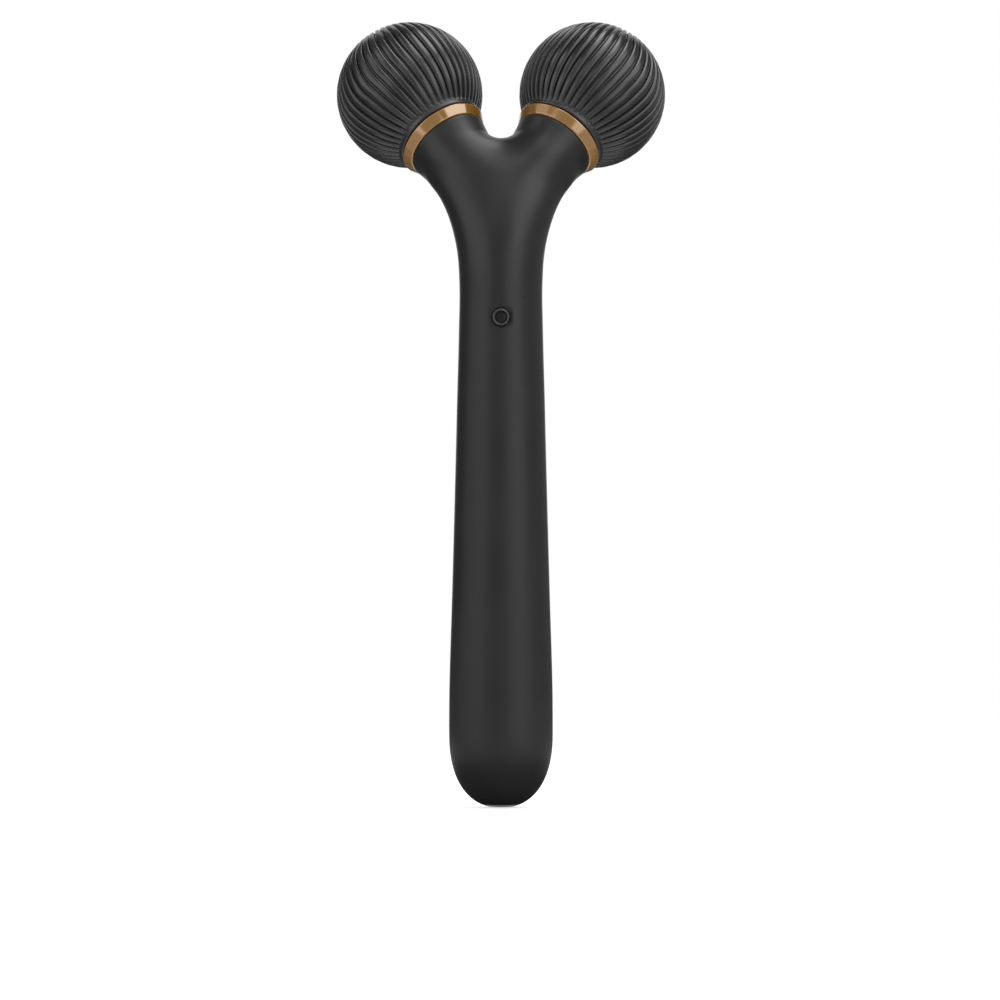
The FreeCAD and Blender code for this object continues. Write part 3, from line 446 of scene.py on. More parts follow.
def section(run):
    """Half width and half depth of the handle at a run along its middle line."""
    if run >= BUTT_TOP:
        return float(half_width_curve(run)), float(half_depth_curve(run))
    up_share = TIP_SHARE - run / BUTT_ROUND
    angle = math.asin(min(1.0, up_share ** (1 / BUTT_POWER_SHARE)))
    across_share = math.cos(angle) ** BUTT_POWER_SHARE
    return BUTT_HALF_WIDTH * across_share, BUTT_HALF_DEPTH * across_share


def handle_ring(run, scale=1.0):
    """Ring of the handle at a run along its middle line, which leans back at the head."""
    half_width, half_depth = section(run)
    turn = max(run - LEAN_START, 0) / LEAN_RADIUS
    up = min(run, LEAN_START) + LEAN_RADIUS * math.sin(turn)
    back = LEAN_RADIUS * (1 - math.cos(turn))
    depth_axis = np.array((0, math.cos(turn), -math.sin(turn)))
    angles = 2 * np.pi * np.arange(RING_POINTS) / RING_POINTS
    middle = np.array((0, back, up))
    return (middle + scale * half_width * np.cos(angles)[:, None] * ACROSS
            + scale * half_depth * np.sin(angles)[:, None] * depth_axis)


def arm_ring(sign, angle, straight):
    """Ring of the bent tube at an angle of the bend, then a straight run past its end."""
    outward = sign * math.sin(angle) * ACROSS - math.cos(angle) * HEAD_UP
    along = sign * math.cos(angle) * ACROSS + math.sin(angle) * HEAD_UP
    middle = JUNCTION + HEAD_UP * BEND_LEVEL + outward * BEND_RADIUS + along * straight
    flare = float(arm_flare(straight + (angle - BEND_HALF_ANGLE) * BEND_RADIUS))
    angles = 2 * np.pi * np.arange(ARM_POINTS) / ARM_POINTS
    return (middle + flare * np.cos(angles)[:, None] * outward
            + flare * np.sin(angles)[:, None] * HEAD_BACK)


def handle_distance(points):
    """Signed distance to the handle, close to its skin."""
    y, z = points[:, 1], points[:, 2]
    leaning = z > LEAN_START
    turn = np.arctan2(z - LEAN_START, LEAN_RADIUS - y)
    run = np.where(leaning, LEAN_START + LEAN_RADIUS * turn, z)
    depth = np.where(leaning, LEAN_RADIUS - np.hypot(LEAN_RADIUS - y, z - LEAN_START), y)
    reach = np.hypot(points[:, 0], depth) + TINY
    share = np.hypot(points[:, 0] / half_width_curve(run), depth / half_depth_curve(run)) + TINY
    return np.maximum(reach * (1 - 1 / share), run - section_runs[-1])


def arms_distance(points):
    """Signed distance to the bent tube that carries both balls."""
    local = points - JUNCTION
    across = np.abs(local[:, 0])
    drop = BEND_LEVEL - local @ HEAD_UP
    back = local @ HEAD_BACK
    angle = np.arctan2(across, drop)
    bent = np.hypot(np.hypot(across, drop) - BEND_RADIUS, back)
    bent -= arm_flare((angle - BEND_HALF_ANGLE) * BEND_RADIUS)
    straight = ((across - math.sin(BEND_HALF_ANGLE) * BEND_RADIUS) * math.cos(BEND_HALF_ANGLE)
                + (math.cos(BEND_HALF_ANGLE) * BEND_RADIUS - drop) * math.sin(BEND_HALF_ANGLE))
    aside = across * math.sin(BEND_HALF_ANGLE) + drop * math.cos(BEND_HALF_ANGLE) - BEND_RADIUS
    tube = np.hypot(aside, back) - arm_flare(straight)
    return np.where(angle < BEND_HALF_ANGLE, bent, tube)


def skin_distance(points):
    """Both forms joined by a soft fillet that tightens towards the sides, with a shallow valley in front."""
    first = handle_distance(points)
    second = arms_distance(points)
    side_share = np.clip(np.abs(points[:, 0]) / FILLET_REACH, 0, 1)
    fillet = FILLET_MIDDLE + (FILLET_SIDE - FILLET_MIDDLE) * side_share ** 2 * (3 - 2 * side_share)
    near = np.maximum(fillet - np.abs(first - second), 0) / fillet
    local = points - JUNCTION
    front_share = np.clip(-(local @ HEAD_BACK) / ARM_RADIUS, 0, 1)
    level = local @ HEAD_UP - VALLEY_LEVEL
    level_share = level / np.where(level > 0, VALLEY_UP, VALLEY_DOWN)
    valley = VALLEY_DEPTH * front_share ** 2 * np.exp(-(points[:, 0] / VALLEY_WIDTH) ** 2 - level_share ** 2)
    return np.minimum(first, second) - near ** 2 * fillet / 4 + valley


def onto_skin(points, rounds):
    """Moves points along the slope of the distance until they lie on the skin."""
    for _ in range(rounds):
        slopes = []
        for axis in np.eye(3):
            ahead = skin_distance(points + SLOPE_STEP * axis)
            behind = skin_distance(points - SLOPE_STEP * axis)
            slopes.append((ahead - behind) / (2 * SLOPE_STEP))
        slope = np.stack(slopes, axis=1)
        gain = np.maximum((slope ** 2).sum(axis=1), SLOPE_FLOOR)
        points = points - slope * (skin_distance(points) / gain)[:, None]
    return points


def case_grid():
    """Points of the whole skin, faces with a column that tells front from rear, and each point's freedom."""
    points = []
    faces = []
    freedom = []

    def add_ring(ring, free):
        start = len(points)
        points.extend(ring)
        freedom.extend([free] * len(ring))
        return start

    # Butt and handle
    tip = add_ring([np.zeros(3)], 0.0)
    starts = [add_ring(handle_ring(0.0, scale), 0.0) for scale in TIP_RING_SCALES]
    for index in range(1, BUTT_RINGS + 1):
        angle = BUTT_TIP_ANGLE * (1 - index / BUTT_RINGS)
        run = BUTT_ROUND * (TIP_SHARE - math.sin(angle) ** BUTT_POWER_SHARE)
        starts.append(add_ring(handle_ring(run), 0.0))
    last_run = LEAN_START + LEAN_RADIUS * HEAD_LEAN * HANDLE_END_SHARE
    count = round((last_run - BUTT_TOP) / RING_PITCH)
    for index in range(1, count + 1):
        run = BUTT_TOP + (last_run - BUTT_TOP) * index / count
        free = min(max((run - LEAN_START) / LEAN_RUN * HANDLE_FREEDOM_RISE, 0.0), 1.0)
        starts.append(add_ring(handle_ring(run), free))
    for column in range(RING_POINTS):
        after = (column + 1) % RING_POINTS
        faces.append(((tip, starts[0] + after, starts[0] + column), column))
    for low, high in zip(starts, starts[1:]):
        for column in range(RING_POINTS):
            after = (column + 1) % RING_POINTS
            faces.append(((low + column, low + after, high + after, high + column), column))

    # Bent tube, open below where the handle joins it
    rings = {}
    angles = [JOIN_HALF_ANGLE * index / JOIN_RINGS for index in range(JOIN_RINGS + 1)]
    angles += [JOIN_HALF_ANGLE + (BEND_HALF_ANGLE - JOIN_HALF_ANGLE) * index / BEND_END_RINGS
               for index in range(1, BEND_END_RINGS + 1)]
    stations = [(angle, 0.0) for angle in angles]
    stations += [(BEND_HALF_ANGLE, ARM_STRAIGHT * index / STRAIGHT_RINGS)
                 for index in range(1, STRAIGHT_RINGS + 1)]
    ends = len(stations) - 1
    for index, (angle, straight) in enumerate(stations):
        free = (BEND_HALF_ANGLE - angle) / (BEND_HALF_ANGLE - JOIN_HALF_ANGLE)
        free = min(max(free, ARM_FREEDOM), 1.0)
        if index == ends:
            free = 0.0
        for sign in ((1,) if index == 0 else (1, -1)):
            rings[sign * index] = add_ring(arm_ring(sign, angle, straight), free)
    for index in range(-ends, ends):
        here = rings[index]
        there = rings[index + 1]
        for column in range(ARM_POINTS):
            signed = column if column < ARM_POINTS // 2 else column - ARM_POINTS
            if -JOIN_RINGS <= index < JOIN_RINGS and -JOIN_COLUMNS <= signed < JOIN_COLUMNS:
                continue
            after = (column + 1) % ARM_POINTS
            face = (here + column, here + after, there + after, there + column)
            faces.append((face, 0 if column < ARM_POINTS // 2 else HALF_RING))

    # Edge of the opening, in the order of the last ring of the handle
    edge = [(JOIN_RINGS, column) for column in range(0, JOIN_COLUMNS)]
    edge += [(index, JOIN_COLUMNS) for index in range(JOIN_RINGS, -JOIN_RINGS, -1)]
    edge += [(-JOIN_RINGS, column) for column in range(JOIN_COLUMNS, -JOIN_COLUMNS, -1)]
    edge += [(index, -JOIN_COLUMNS) for index in range(-JOIN_RINGS, JOIN_RINGS)]
    edge += [(JOIN_RINGS, column) for column in range(-JOIN_COLUMNS, 0)]
    loop = [rings[index] + column % ARM_POINTS for index, column in edge]
    for column in range(RING_POINTS):
        after = (column + 1) % RING_POINTS
        faces.append(((starts[-1] + column, starts[-1] + after, loop[after], loop[column]), column))
    return np.array(points), faces, np.array(freedom)


def relaxed(points, faces, freedom):
    """Evens out the points round the junction while they stay on the skin."""
    pairs = set()
    for face, _ in faces:
        for first, second in zip(face, face[1:] + face[:1]):
            pairs.add((min(first, second), max(first, second)))
    pairs = np.array(sorted(pairs))
    count = np.bincount(pairs.ravel(), minlength=len(points))[:, None]
    free = np.flatnonzero(freedom > 0)
    for _ in range(RELAX_ROUNDS):
        total = np.zeros_like(points)
        np.add.at(total, pairs[:, 0], points[pairs[:, 1]])
        np.add.at(total, pairs[:, 1], points[pairs[:, 0]])
        mean = total / np.maximum(count, 1)
        points[free] += RELAX_SHARE * freedom[free, None] * (mean[free] - points[free])
        points[free] = onto_skin(points[free], 1)
    points[free] = onto_skin(points[free], LAST_SKIN_ROUNDS)
    return points


def open_hole(points, faces, centre_row, centre_column, block, outline, front, dip):
    """Replaces a block of the handle grid by rings that dip towards the edge of a hole."""
    rows, columns = block
    first_ring = 1
    low, high = centre_row - rows, centre_row + rows
    left, right = centre_column - columns, centre_column + columns

    def grid(row, column):
        return first_ring + row * RING_POINTS + column % RING_POINTS

    removed = set()
    for row in range(low, high):
        for column in range(left, right):
            removed.add(frozenset((grid(row, column), grid(row, column + 1),
                                   grid(row + 1, column + 1), grid(row + 1, column))))
    kept = [item for item in faces if frozenset(item[0]) not in removed]
    loop = [grid(row, right) for row in range(centre_row, high)]
    loop += [grid(high, column) for column in range(right, left, -1)]
    loop += [grid(row, left) for row in range(high, low, -1)]
    loop += [grid(low, column) for column in range(left, right)]
    loop += [grid(row, right) for row in range(low, centre_row)]
    facing = -1 if front else 1
    edge = outline(len(loop), -facing)
    points = list(points)
    previous = loop
    for share in HOLE_RING_SHARES:
        dip_share = max(0.0, (share - HOLE_DIP_SHARE) / (1 - HOLE_DIP_SHARE))
        ring = []
        for index, (across, up) in zip(loop, edge):
            x = points[index][0] * (1 - share) + across * share
            z = points[index][2] * (1 - share) + up * share
            half_width, half_depth = section(z)
            skin = half_depth * math.sqrt(max(0.0, 1 - (x / half_width) ** 2))
            ring.append(len(points))
            points.append(np.array((x, facing * (skin - dip * dip_share ** 2), z)))
        for index in range(len(loop)):
            after = (index + 1) % len(loop)
            face = (previous[index], previous[after], ring[after], ring[index])
            kept.append((face, HALF_RING if front else 0))
        previous = ring
    return np.array(points), kept


def button_outline(count, sign):
    """Circle of the button hole, walked from one side."""
    outline = []
    for index in range(count):
        angle = 2 * math.pi * index / count
        outline.append((sign * BUTTON_HOLE_RADIUS * math.cos(angle),
                        BUTTON_HEIGHT + BUTTON_HOLE_RADIUS * math.sin(angle)))
    return outline


def port_outline(count, sign):
    """Upright obround walked from the middle of one side."""
    quarter = PORT_HALF_WIDTH * math.pi / 2
    total = 4 * (PORT_HALF_STRAIGHT + quarter)
    outline = []
    for index in range(count):
        walked = total * index / count
        flip = 1
        if walked >= total / 2:
            walked -= total / 2
            flip = -1
        if walked < PORT_HALF_STRAIGHT:
            spot = (PORT_HALF_WIDTH, walked)
        elif walked < PORT_HALF_STRAIGHT + 2 * quarter:
            angle = (walked - PORT_HALF_STRAIGHT) / PORT_HALF_WIDTH
            spot = (PORT_HALF_WIDTH * math.cos(angle),
                    PORT_HALF_STRAIGHT + PORT_HALF_WIDTH * math.sin(angle))
        else:
            spot = (-PORT_HALF_WIDTH, 2 * PORT_HALF_STRAIGHT + 2 * quarter - walked)
        outline.append((sign * flip * spot[0], PORT_HEIGHT + flip * spot[1]))
    return outline


def nearest_row(points, height):
    """Row of the handle grid whose side point is nearest to a height."""
    rows = points[1::RING_POINTS][:, 2]
    upright = len(TIP_RING_SCALES) + BUTT_RINGS + round(LEAN_START)
    return int(np.argmin(np.abs(rows[:upright] - height)))


def case_shells():
    points, faces, freedom = case_grid()
    points = relaxed(points, faces, freedom)
    points, faces = open_hole(points, faces, nearest_row(points, BUTTON_HEIGHT), FRONT_COLUMN,
                              BUTTON_BLOCK, button_outline, True, BUTTON_DIP)
    points, faces = open_hole(points, faces, nearest_row(points, PORT_HEIGHT), REAR_COLUMN,
                              PORT_BLOCK, port_outline, False, PORT_DIP)
    for name, node_name, is_front in SHELLS:
        own = [face for face, column in faces if (column >= HALF_RING) == is_front]
        used = sorted({index for face in own for index in face})
        renamed = {old: new for new, old in enumerate(used)}
        own = [tuple(renamed[index] for index in face) for face in own]
        piece = place_piece(name, points[used], own, "handle", "case_black", [node_name])
        smooth = piece.modifiers.new("smooth", "SUBSURF")
        smooth.levels = smooth.render_levels = SMOOTH_LEVELS
        wall = piece.modifiers.new("wall", "SOLIDIFY")
        wall.thickness = WALL * MM
        wall.offset = -1
        edge = piece.modifiers.new("edges", "BEVEL")
        edge.width = EDGE_BEVEL * MM
        edge.segments = EDGE_SEGMENTS
        edge.limit_method = "ANGLE"
        edge.angle_limit = EDGE_ANGLE
        edge.use_clamp_overlap = False


case_shells()


# Balls, their rims and the collars

# The ribs run almost straight from the collar and sweep aside past the middle of the ball.
# Angles are in degrees; rib steps are shares of half a pitch from the middle of a rib.
RIB_COUNT = 45
RIB_STEPS = (0.0, 0.22, 0.36, 0.48, 0.59, 0.69, 0.77, 0.83, 0.87, 0.89)
RIB_TOP_SHARE = 0.22
RIB_FOOT_SHARE = 0.89
RIB_DEPTH = 0.7
RIB_PHASE = 1.8
RIB_TURN_START = 85.0
RIB_TURN_SPAN = 50.0
RIB_LEAN = 4.2
RIB_SWEEP = -10.9
RIB_FADE_IN = 6.0
RIB_BASE_SHARE = 0.6
RIB_END_SHARE = 0.58
RIB_FADE_OUT = (158.0, 170.0)
SEAM_SHARE = 0.62
ROW_STEP = 1.5
LAST_ROW = 178.5
INNER_ROWS = 8
SKIN_FLARE_ROWS = 8
RIM_ROWS = 6
RIM_ROUND_START = 0.8
RIM_ROUND_SPAN = 0.2
COLLAR_SEGMENTS = 160
BASE_ANGLE = math.degrees(math.acos(BALL_BASE / BALL_RADIUS))
INNER_ANGLE = math.degrees(math.acos(BALL_BASE / CORE_RADIUS))
CORE_BASE_RADIUS = math.sqrt(CORE_RADIUS ** 2 - BALL_BASE ** 2)


def rib_columns(mirror):
    """Angles round the ball and the height share of the rib there."""
    pitch = 360 / RIB_COUNT
    steps = [-1.0] + [-step for step in reversed(RIB_STEPS[1:])] + list(RIB_STEPS)
    angles = []
    heights = []
    for rib in range(RIB_COUNT):
        for step in steps:
            angles.append(mirror * RIB_PHASE + pitch * (rib + step / 2))
            fall = (abs(step) - RIB_TOP_SHARE) / (RIB_FOOT_SHARE - RIB_TOP_SHARE)
            heights.append(math.sqrt(1 - min(max(fall, 0.0), 1.0) ** 2))
    return np.array(angles), np.array(heights)


def ball_frame(sign):
    """Centre of a ball, its pole towards the collar and two axes across; ribs start from the front."""
    axis = arm_axis(sign)
    centre = np.array(Vector(JUNCTION) + axis * BALL_RUN)
    pole = -np.array(axis)
    viewer = np.array((0.0, -1.0, 0.0))
    first = viewer - (viewer @ pole) * pole
    first /= np.linalg.norm(first)
    return centre, pole, first, np.cross(pole, first)


def ribbed_ball(side, sign):
    centre, pole, first, second = ball_frame(sign)
    mirror = -sign
    columns, heights = rib_columns(mirror)
    width = len(columns)

    def rays(angle):
        """Directions across the axis on one row, turned by the sweep of the ribs."""
        past = (angle - RIB_TURN_START) / RIB_TURN_SPAN
        turn = mirror * (RIB_LEAN * past + RIB_SWEEP * max(past, 0.0) ** 2)
        around = np.radians(columns + turn)[:, None]
        return np.cos(around) * first + np.sin(around) * second

    def sphere_row(angle, radii):
        polar = math.radians(angle)
        return centre + (math.cos(polar) * pole + math.sin(polar) * rays(angle)) * radii[:, None]

    def band_row(radii, drop):
        return centre + pole * drop + rays(BASE_ANGLE) * radii[:, None]

    def flare_row(share):
        """Row below the sphere, where it flares into a smooth band and the ribs run out."""
        radius = RIM_LOW_RADIUS + (RIM_HIGH_RADIUS - RIM_LOW_RADIUS) * (1 - share) ** 3
        radius -= RIM_ROUND * max(0.0, (share - RIM_ROUND_START) / RIM_ROUND_SPAN) ** 2
        grooves = RIB_DEPTH * RIB_BASE_SHARE * (1 - ramp(share, 0.0, RIB_END_SHARE)) * (1 - heights)
        inward = share + (1 - share) * RIM_HIGH_RADIUS / BALL_RADIUS
        lift = (1 - share) * BALL_BASE / BALL_RADIUS
        row = band_row(radius - inward * grooves, BALL_BASE + RIM_HEIGHT * share)
        return row - lift * grooves[:, None] * pole

    # Skin: ribbed outside, plain sphere inside
    points = []
    for row in range(SKIN_FLARE_ROWS, 0, -1):
        points.extend(flare_row(SEAM_SHARE * row / SKIN_FLARE_ROWS))
    row_count = round((LAST_ROW - BASE_ANGLE) / ROW_STEP)
    for row in range(row_count + 1):
        angle = BASE_ANGLE + (LAST_ROW - BASE_ANGLE) * row / row_count
        depth = RIB_DEPTH * (1 - ramp(angle, *RIB_FADE_OUT))
        depth *= RIB_BASE_SHARE + (1 - RIB_BASE_SHARE) * ramp(angle, BASE_ANGLE, BASE_ANGLE + RIB_FADE_IN)
        points.extend(sphere_row(angle, BALL_RADIUS - depth * (1 - heights)))
    for row in range(INNER_ROWS + 1):
        angle = LAST_ROW + (INNER_ANGLE - LAST_ROW) * row / INNER_ROWS
        points.extend(sphere_row(angle, np.full(width, CORE_RADIUS)))
    outer_last = row_count + SKIN_FLARE_ROWS
    faces = ring_faces(outer_last + INNER_ROWS + 2, width, (outer_last,))
    far = len(points)
    points.append(centre - pole * BALL_RADIUS)
    points.append(centre - pole * CORE_RADIUS)
    outer = outer_last * width
    inner = outer + width
    for column in range(width):
        after = (column + 1) % width
        faces.append((outer + column, far, outer + after))
        faces.append((far + 1, inner + column, inner + after))
    place_piece(side + "_ribbed_skin", points, faces, side + "_ball", "ball_black", [side + "_ball_skin"])

    # Rim: the rest of the smooth band down to the collar, its bore and its seat on the core
    points = []
    for row in range(RIM_ROWS + 1):
        points.extend(flare_row(SEAM_SHARE + (1 - SEAM_SHARE) * row / RIM_ROWS))
    plain_rows = ((RIM_BORE, BALL_BASE + RIM_HEIGHT), (RIM_BORE, BALL_BASE), (CORE_BASE_RADIUS, BALL_BASE))
    for radius, drop in plain_rows:
        points.extend(band_row(np.full(width, radius), drop))
    faces = [face[::-1] for face in ring_faces(RIM_ROWS + 1 + len(plain_rows), width)]
    place_piece(side + "_ball_rim", points, faces, side + "_ball", "rim_black", [side + "_ball_base_cap"])


def collar(side, sign):
    top = COLLAR_RUN + COLLAR_WIDTH
    outline = rounded(((SPIGOT_RADIUS, COLLAR_RUN), (COLLAR_LOW_RADIUS, COLLAR_RUN),
                       (COLLAR_HIGH_RADIUS, top - COLLAR_EDGE), (COLLAR_HIGH_RADIUS - COLLAR_EDGE, top),
                       (SPIGOT_RADIUS, top)), COLLAR_ROUND)
    turned_piece(side + "_gold_collar", turned_ring(outline, COLLAR_SEGMENTS), arm_matrix(sign),
                 "handle", "gold_plate", [side + "_collar_ring"])


for side, sign in SIDES:
    ribbed_ball(side, sign)
    collar(side, sign)


# Button: a rounded lip round a sunk, slightly domed lens

BUTTON_RADIUS = 1.8
BUTTON_SEGMENTS = 64
LENS_RADIUS = 1.28
LENS_SEAT = 7.95
LENS_EDGE = 8.15
LENS_DOME = 0.15
LENS_SHARES = (1.0, 0.85, 0.7, 0.5, 0.3, 0.0)
LIP_FOOT = 8.7
LIP_RISE = 0.3
LIP_STEPS = 12
STEM_RADIUS = 1.2
FLANGE_RADIUS = 2.9
FLANGE_LOW = 4.7
FLANGE_HIGH = 5.5


def button():
    place = Matrix.Translation((0, 0, BUTTON_HEIGHT)) @ Matrix.Rotation(math.pi / 2, 4, "X")
    low = -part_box("button_cap")[1].y / MM
    outline = [(0.0, low), (STEM_RADIUS, low), (STEM_RADIUS, FLANGE_LOW), (FLANGE_RADIUS, FLANGE_LOW),
               (FLANGE_RADIUS, FLANGE_HIGH), (BUTTON_RADIUS, FLANGE_HIGH)]
    middle = (BUTTON_RADIUS + LENS_RADIUS) / 2
    half = (BUTTON_RADIUS - LENS_RADIUS) / 2
    for step in range(LIP_STEPS + 1):
        angle = math.pi * step / LIP_STEPS
        outline.append((middle + half * math.cos(angle), LIP_FOOT + LIP_RISE * math.sin(angle)))
    outline += [(LENS_RADIUS, LENS_SEAT), (0.0, LENS_SEAT)]
    turned_piece("button_lip", turned_solid(outline, BUTTON_SEGMENTS), place,
                 "button", "button_black", ["button_cap"])
    outline = [(0.0, LENS_SEAT), (LENS_RADIUS, LENS_SEAT)]
    for share in LENS_SHARES:
        outline.append((LENS_RADIUS * share, LENS_EDGE + LENS_DOME * (1 - share ** 2)))
    turned_piece("button_window", turned_solid(outline, BUTTON_SEGMENTS), place,
                 "button", "lens_smoke", ["button_lens"])


button()


# Camera, backdrop and floor; the lengths of the stage are in metres

CAMERA_LENS = 200
CAMERA_SENSOR = 36
CAMERA_PLACE = (-0.0002, -1.167, 0.06443)
BACKDROP_FILL = 0.5
FLOOR_HALF = 0.6
FLOOR_LEVEL = -0.0002
FLOOR_COLOUR = (0.9, 0.9, 0.9, 1)
FLOOR_GLOW = 0.6
FLOOR_FADE_START = 0.12
FLOOR_FADE_END = 0.5


def camera():
    item = bpy.data.objects.new("camera", bpy.data.cameras.new("camera"))
    item.data.lens = CAMERA_LENS
    item.data.sensor_width = CAMERA_SENSOR
    item.location = CAMERA_PLACE
    item.rotation_euler = (math.pi / 2, 0, 0)
    bpy.context.collection.objects.link(item)
    bpy.context.scene.camera = item


def seen_directly(tree):
    """One for rays from the camera, mirrors and clear pieces, zero for scattered light."""
    path = add_node(tree, "ShaderNodeLightPath").outputs
    direct = add_node(tree, "ShaderNodeMath", {0: path["Is Camera Ray"], 1: path["Is Glossy Ray"]},
                      operation="MAXIMUM")
    every = add_node(tree, "ShaderNodeMath", {0: direct.outputs[0], 1: path["Is Transmission Ray"]},
                     operation="MAXIMUM")
    return every.outputs[0]


def white_world():
    world = bpy.data.worlds.new("studio")
    tree = bare_tree(world)
    white = add_node(tree, "ShaderNodeBackground", {"Color": WHITE, "Strength": 1.0})
    dim = add_node(tree, "ShaderNodeBackground", {"Color": WHITE, "Strength": BACKDROP_FILL})
    mix = add_node(tree, "ShaderNodeMixShader",
                   {0: seen_directly(tree), 1: dim.outputs[0], 2: white.outputs[0]})
    output = add_node(tree, "ShaderNodeOutputWorld")
    tree.links.new(mix.outputs[0], output.inputs["Surface"])
    bpy.context.scene.world = world


def floor():
    """Pale floor that fades into the backdrop away from the object."""
    material = bpy.data.materials.new("floor")
    tree = bare_tree(material)
    paint = add_node(tree, "ShaderNodeBsdfDiffuse", {"Color": FLOOR_COLOUR})
    glow = add_node(tree, "ShaderNodeEmission", {"Color": WHITE, "Strength": FLOOR_GLOW})
    lit = add_node(tree, "ShaderNodeAddShader", {0: paint.outputs[0], 1: glow.outputs[0]})
    near = add_node(tree, "ShaderNodeMixShader",
                    {0: seen_directly(tree), 1: paint.outputs[0], 2: lit.outputs[0]})
    clear = add_node(tree, "ShaderNodeBsdfTransparent")
    place = add_node(tree, "ShaderNodeTexCoord").outputs["Object"]
    away = add_node(tree, "ShaderNodeVectorMath", {0: place}, operation="LENGTH").outputs["Value"]
    fade = add_node(tree, "ShaderNodeMapRange",
                    {"Value": away, "From Min": FLOOR_FADE_START, "From Max": FLOOR_FADE_END},
                    interpolation_type="SMOOTHSTEP").outputs["Result"]
    mix = add_node(tree, "ShaderNodeMixShader", {0: fade, 1: near.outputs[0], 2: clear.outputs[0]})
    output = add_node(tree, "ShaderNodeOutputMaterial")
    tree.links.new(mix.outputs[0], output.inputs["Surface"])
    mesh = bpy.data.meshes.new("floor")
    corner_signs = ((-1, -1), (1, -1), (1, 1), (-1, 1))
    mesh.from_pydata([(FLOOR_HALF * x, FLOOR_HALF * y, FLOOR_LEVEL) for x, y in corner_signs], [],
                     [(0, 1, 2, 3)])
    mesh.materials.append(material)
    item = bpy.data.objects.new("floor", mesh)
    bpy.context.collection.objects.link(item)


# Grey dome with soft boxes that only reflections see

ROOM_RADIUS = 1.0
ROOM_MIDDLE = 0.14
ROOM_FLOOR = 0.0005
ROOM_HOLE = 0.0005
ROOM_FLOOR_STEPS = 20
ROOM_RISE_STEP = 2
ROOM_SECTORS = 180
# Reach of the painted contact shadow on the dome's floor, in metres
PAINTED_SHADOW_REACH = 0.008
ROOM_LEVEL = 0.09
BOX_EDGE = 3.0

# Azimuth low and high, elevation low and high, level; 0 is in front, plus is to the right.
# The last box stands for the white backdrop behind.
BOXES = (
    (-31, 14, -30, 60, 0.11),
    (14, 56, -3, 20, 0.95),
    (14, 56, -15, -3, 0.76),
    (31, 100, 20, 52, 1.4),
    (56, 145, -15, 20, 0.2),
    (-94, -31, -1, 27, 0.9),
    (-66, -31, -16, -1, 0.36),
    (-43, -27, -18, -5, 0.5),
    (-100, -54, 26, 40, 0.35),
    (-100, -54, 40, 58, 1.1),
    (-54, -12, 22, 55, 0.08),
    (-30, 34, 30, 56, 0.35),
    (-8, 58, 60, 86, 1.55),
    (58, 172, 58, 84, 2.8),
    (-180, 180, -76, -46, 0.2),
    (-180, 180, -70, -46, 0.2),
    (-180, 180, -63, -46, 0.25),
    (-90, 90, -46, -18, 0.2),
    (155, 205, -8, 45, 0.9),
)


def room_profile():
    """Reach and height of the dome's rings, out along its floor and up to its top."""
    profile = []
    for step in range(ROOM_FLOOR_STEPS + 1):
        reach = ROOM_HOLE + (ROOM_RADIUS - ROOM_HOLE) * (step / ROOM_FLOOR_STEPS) ** 2
        profile.append((reach, ROOM_FLOOR))
    for degrees in range(ROOM_RISE_STEP, 90, ROOM_RISE_STEP):
        rise = math.radians(degrees)
        profile.append((ROOM_RADIUS * math.cos(rise), ROOM_FLOOR + ROOM_RADIUS * math.sin(rise)))
    return profile


def room_level(azimuth, elevation):
    """Level of the grey room and of the boxes that cover a direction."""
    level = ROOM_LEVEL
    for first, last, low, high, gain in BOXES:
        inside = 1
        if last - first < 360:
            turn = (azimuth - (first + last) / 2 + 180) % 360 - 180
            inside = ramp((last - first) / 2 - abs(turn), -BOX_EDGE, BOX_EDGE)
        inside *= ramp((high - low) / 2 - abs(elevation - (high + low) / 2), -BOX_EDGE, BOX_EDGE)
        level += gain * inside
    return level


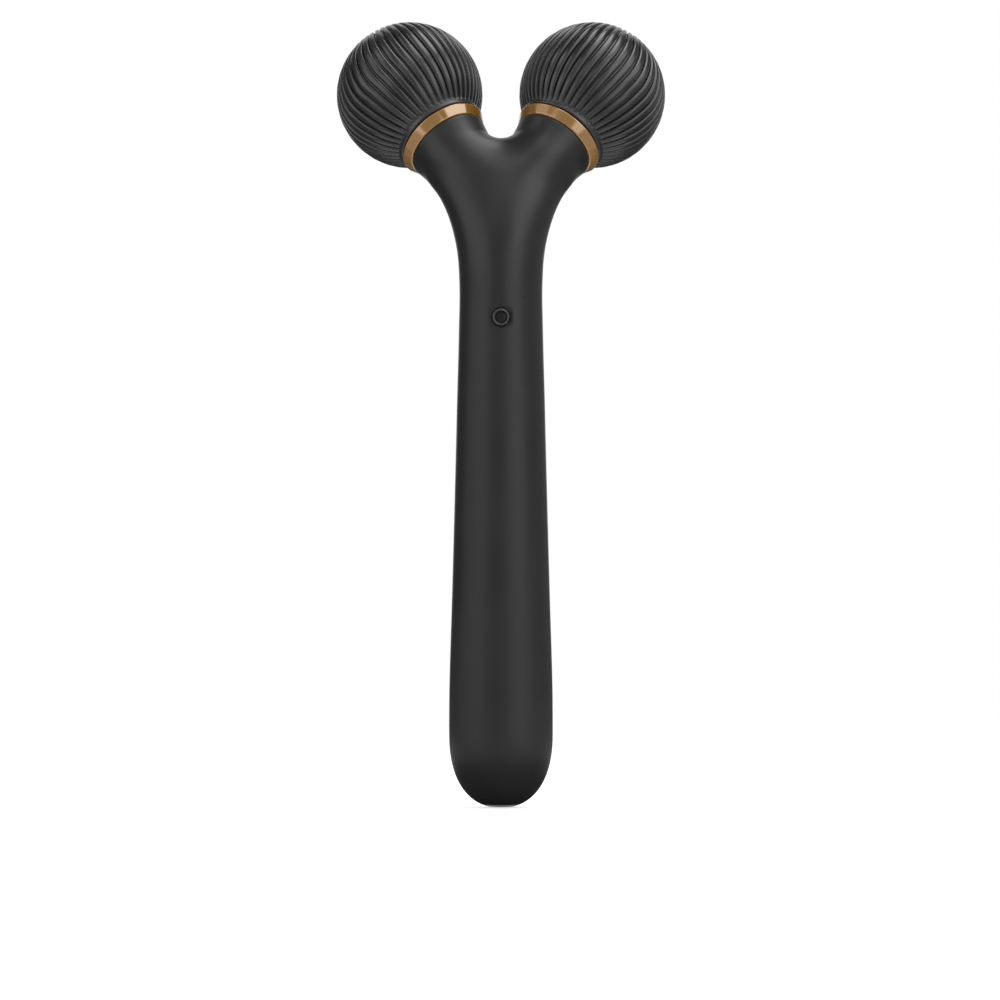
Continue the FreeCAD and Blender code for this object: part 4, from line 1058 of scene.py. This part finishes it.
def room():
    """Dome that glows by its levels, with a painted contact shadow that darkens its floor close to the foot
    of the object.
    """
    profile = room_profile()
    points = []
    levels = []
    for sector in range(ROOM_SECTORS):
        azimuth = 360 * sector / ROOM_SECTORS
        turn = math.radians(azimuth)
        for reach, height in profile:
            points.append((reach * math.sin(turn), -reach * math.cos(turn), height))
            elevation = math.degrees(math.atan2(height - ROOM_MIDDLE, reach))
            # Painted contact shadow: the dome's glow is dimmed close to the object's foot, standing in for
            # the floor's shadow seen in reflections
            painted_shadow = ramp(math.hypot(reach, height), 0.0, PAINTED_SHADOW_REACH)
            levels.append(room_level(azimuth, elevation) * painted_shadow)
    count = len(profile)
    faces = ring_faces(ROOM_SECTORS, count, closed=False)
    faces.append(tuple(sector * count + count - 1 for sector in range(ROOM_SECTORS)))
    mesh = bpy.data.meshes.new("room")
    mesh.from_pydata(points, [], faces)
    mesh.attributes.new("level", "FLOAT", "POINT").data.foreach_set("value", levels)
    material = bpy.data.materials.new("room")
    tree = bare_tree(material)
    level = add_node(tree, "ShaderNodeAttribute", attribute_name="level").outputs["Fac"]
    glow = add_node(tree, "ShaderNodeEmission", {"Color": WHITE, "Strength": level})
    output = add_node(tree, "ShaderNodeOutputMaterial")
    tree.links.new(glow.outputs[0], output.inputs["Surface"])
    mesh.materials.append(material)
    item = bpy.data.objects.new("room", mesh)
    item.visible_camera = False
    item.visible_diffuse = False
    item.visible_transmission = False
    item.visible_shadow = False
    bpy.context.collection.objects.link(item)


# Lamps

# Name, place, width, height, watts
LAMPS = (
    ("top_box", (0.12, 0.15, 0.75), 0.40, 0.40, 2.2),
    ("right_box", (0.45, -0.60, 0.30), 0.30, 0.70, 2.8),
    ("left_box", (-0.60, -0.55, 0.25), 0.30, 0.70, 2.1),
)
LAMP_TARGET = Vector((0, 0, 0.09))


def lamps():
    for name, place, width, height, watts in LAMPS:
        data = bpy.data.lights.new(name, "AREA")
        data.shape = "RECTANGLE"
        data.size = width
        data.size_y = height
        data.energy = watts
        item = bpy.data.objects.new(name, data)
        item.location = place
        item.rotation_euler = (LAMP_TARGET - Vector(place)).to_track_quat("-Z", "Y").to_euler()
        item.visible_glossy = False
        bpy.context.collection.objects.link(item)


camera()
white_world()
floor()
room()
lamps()
bpy.context.scene.view_settings.view_transform = "Standard"
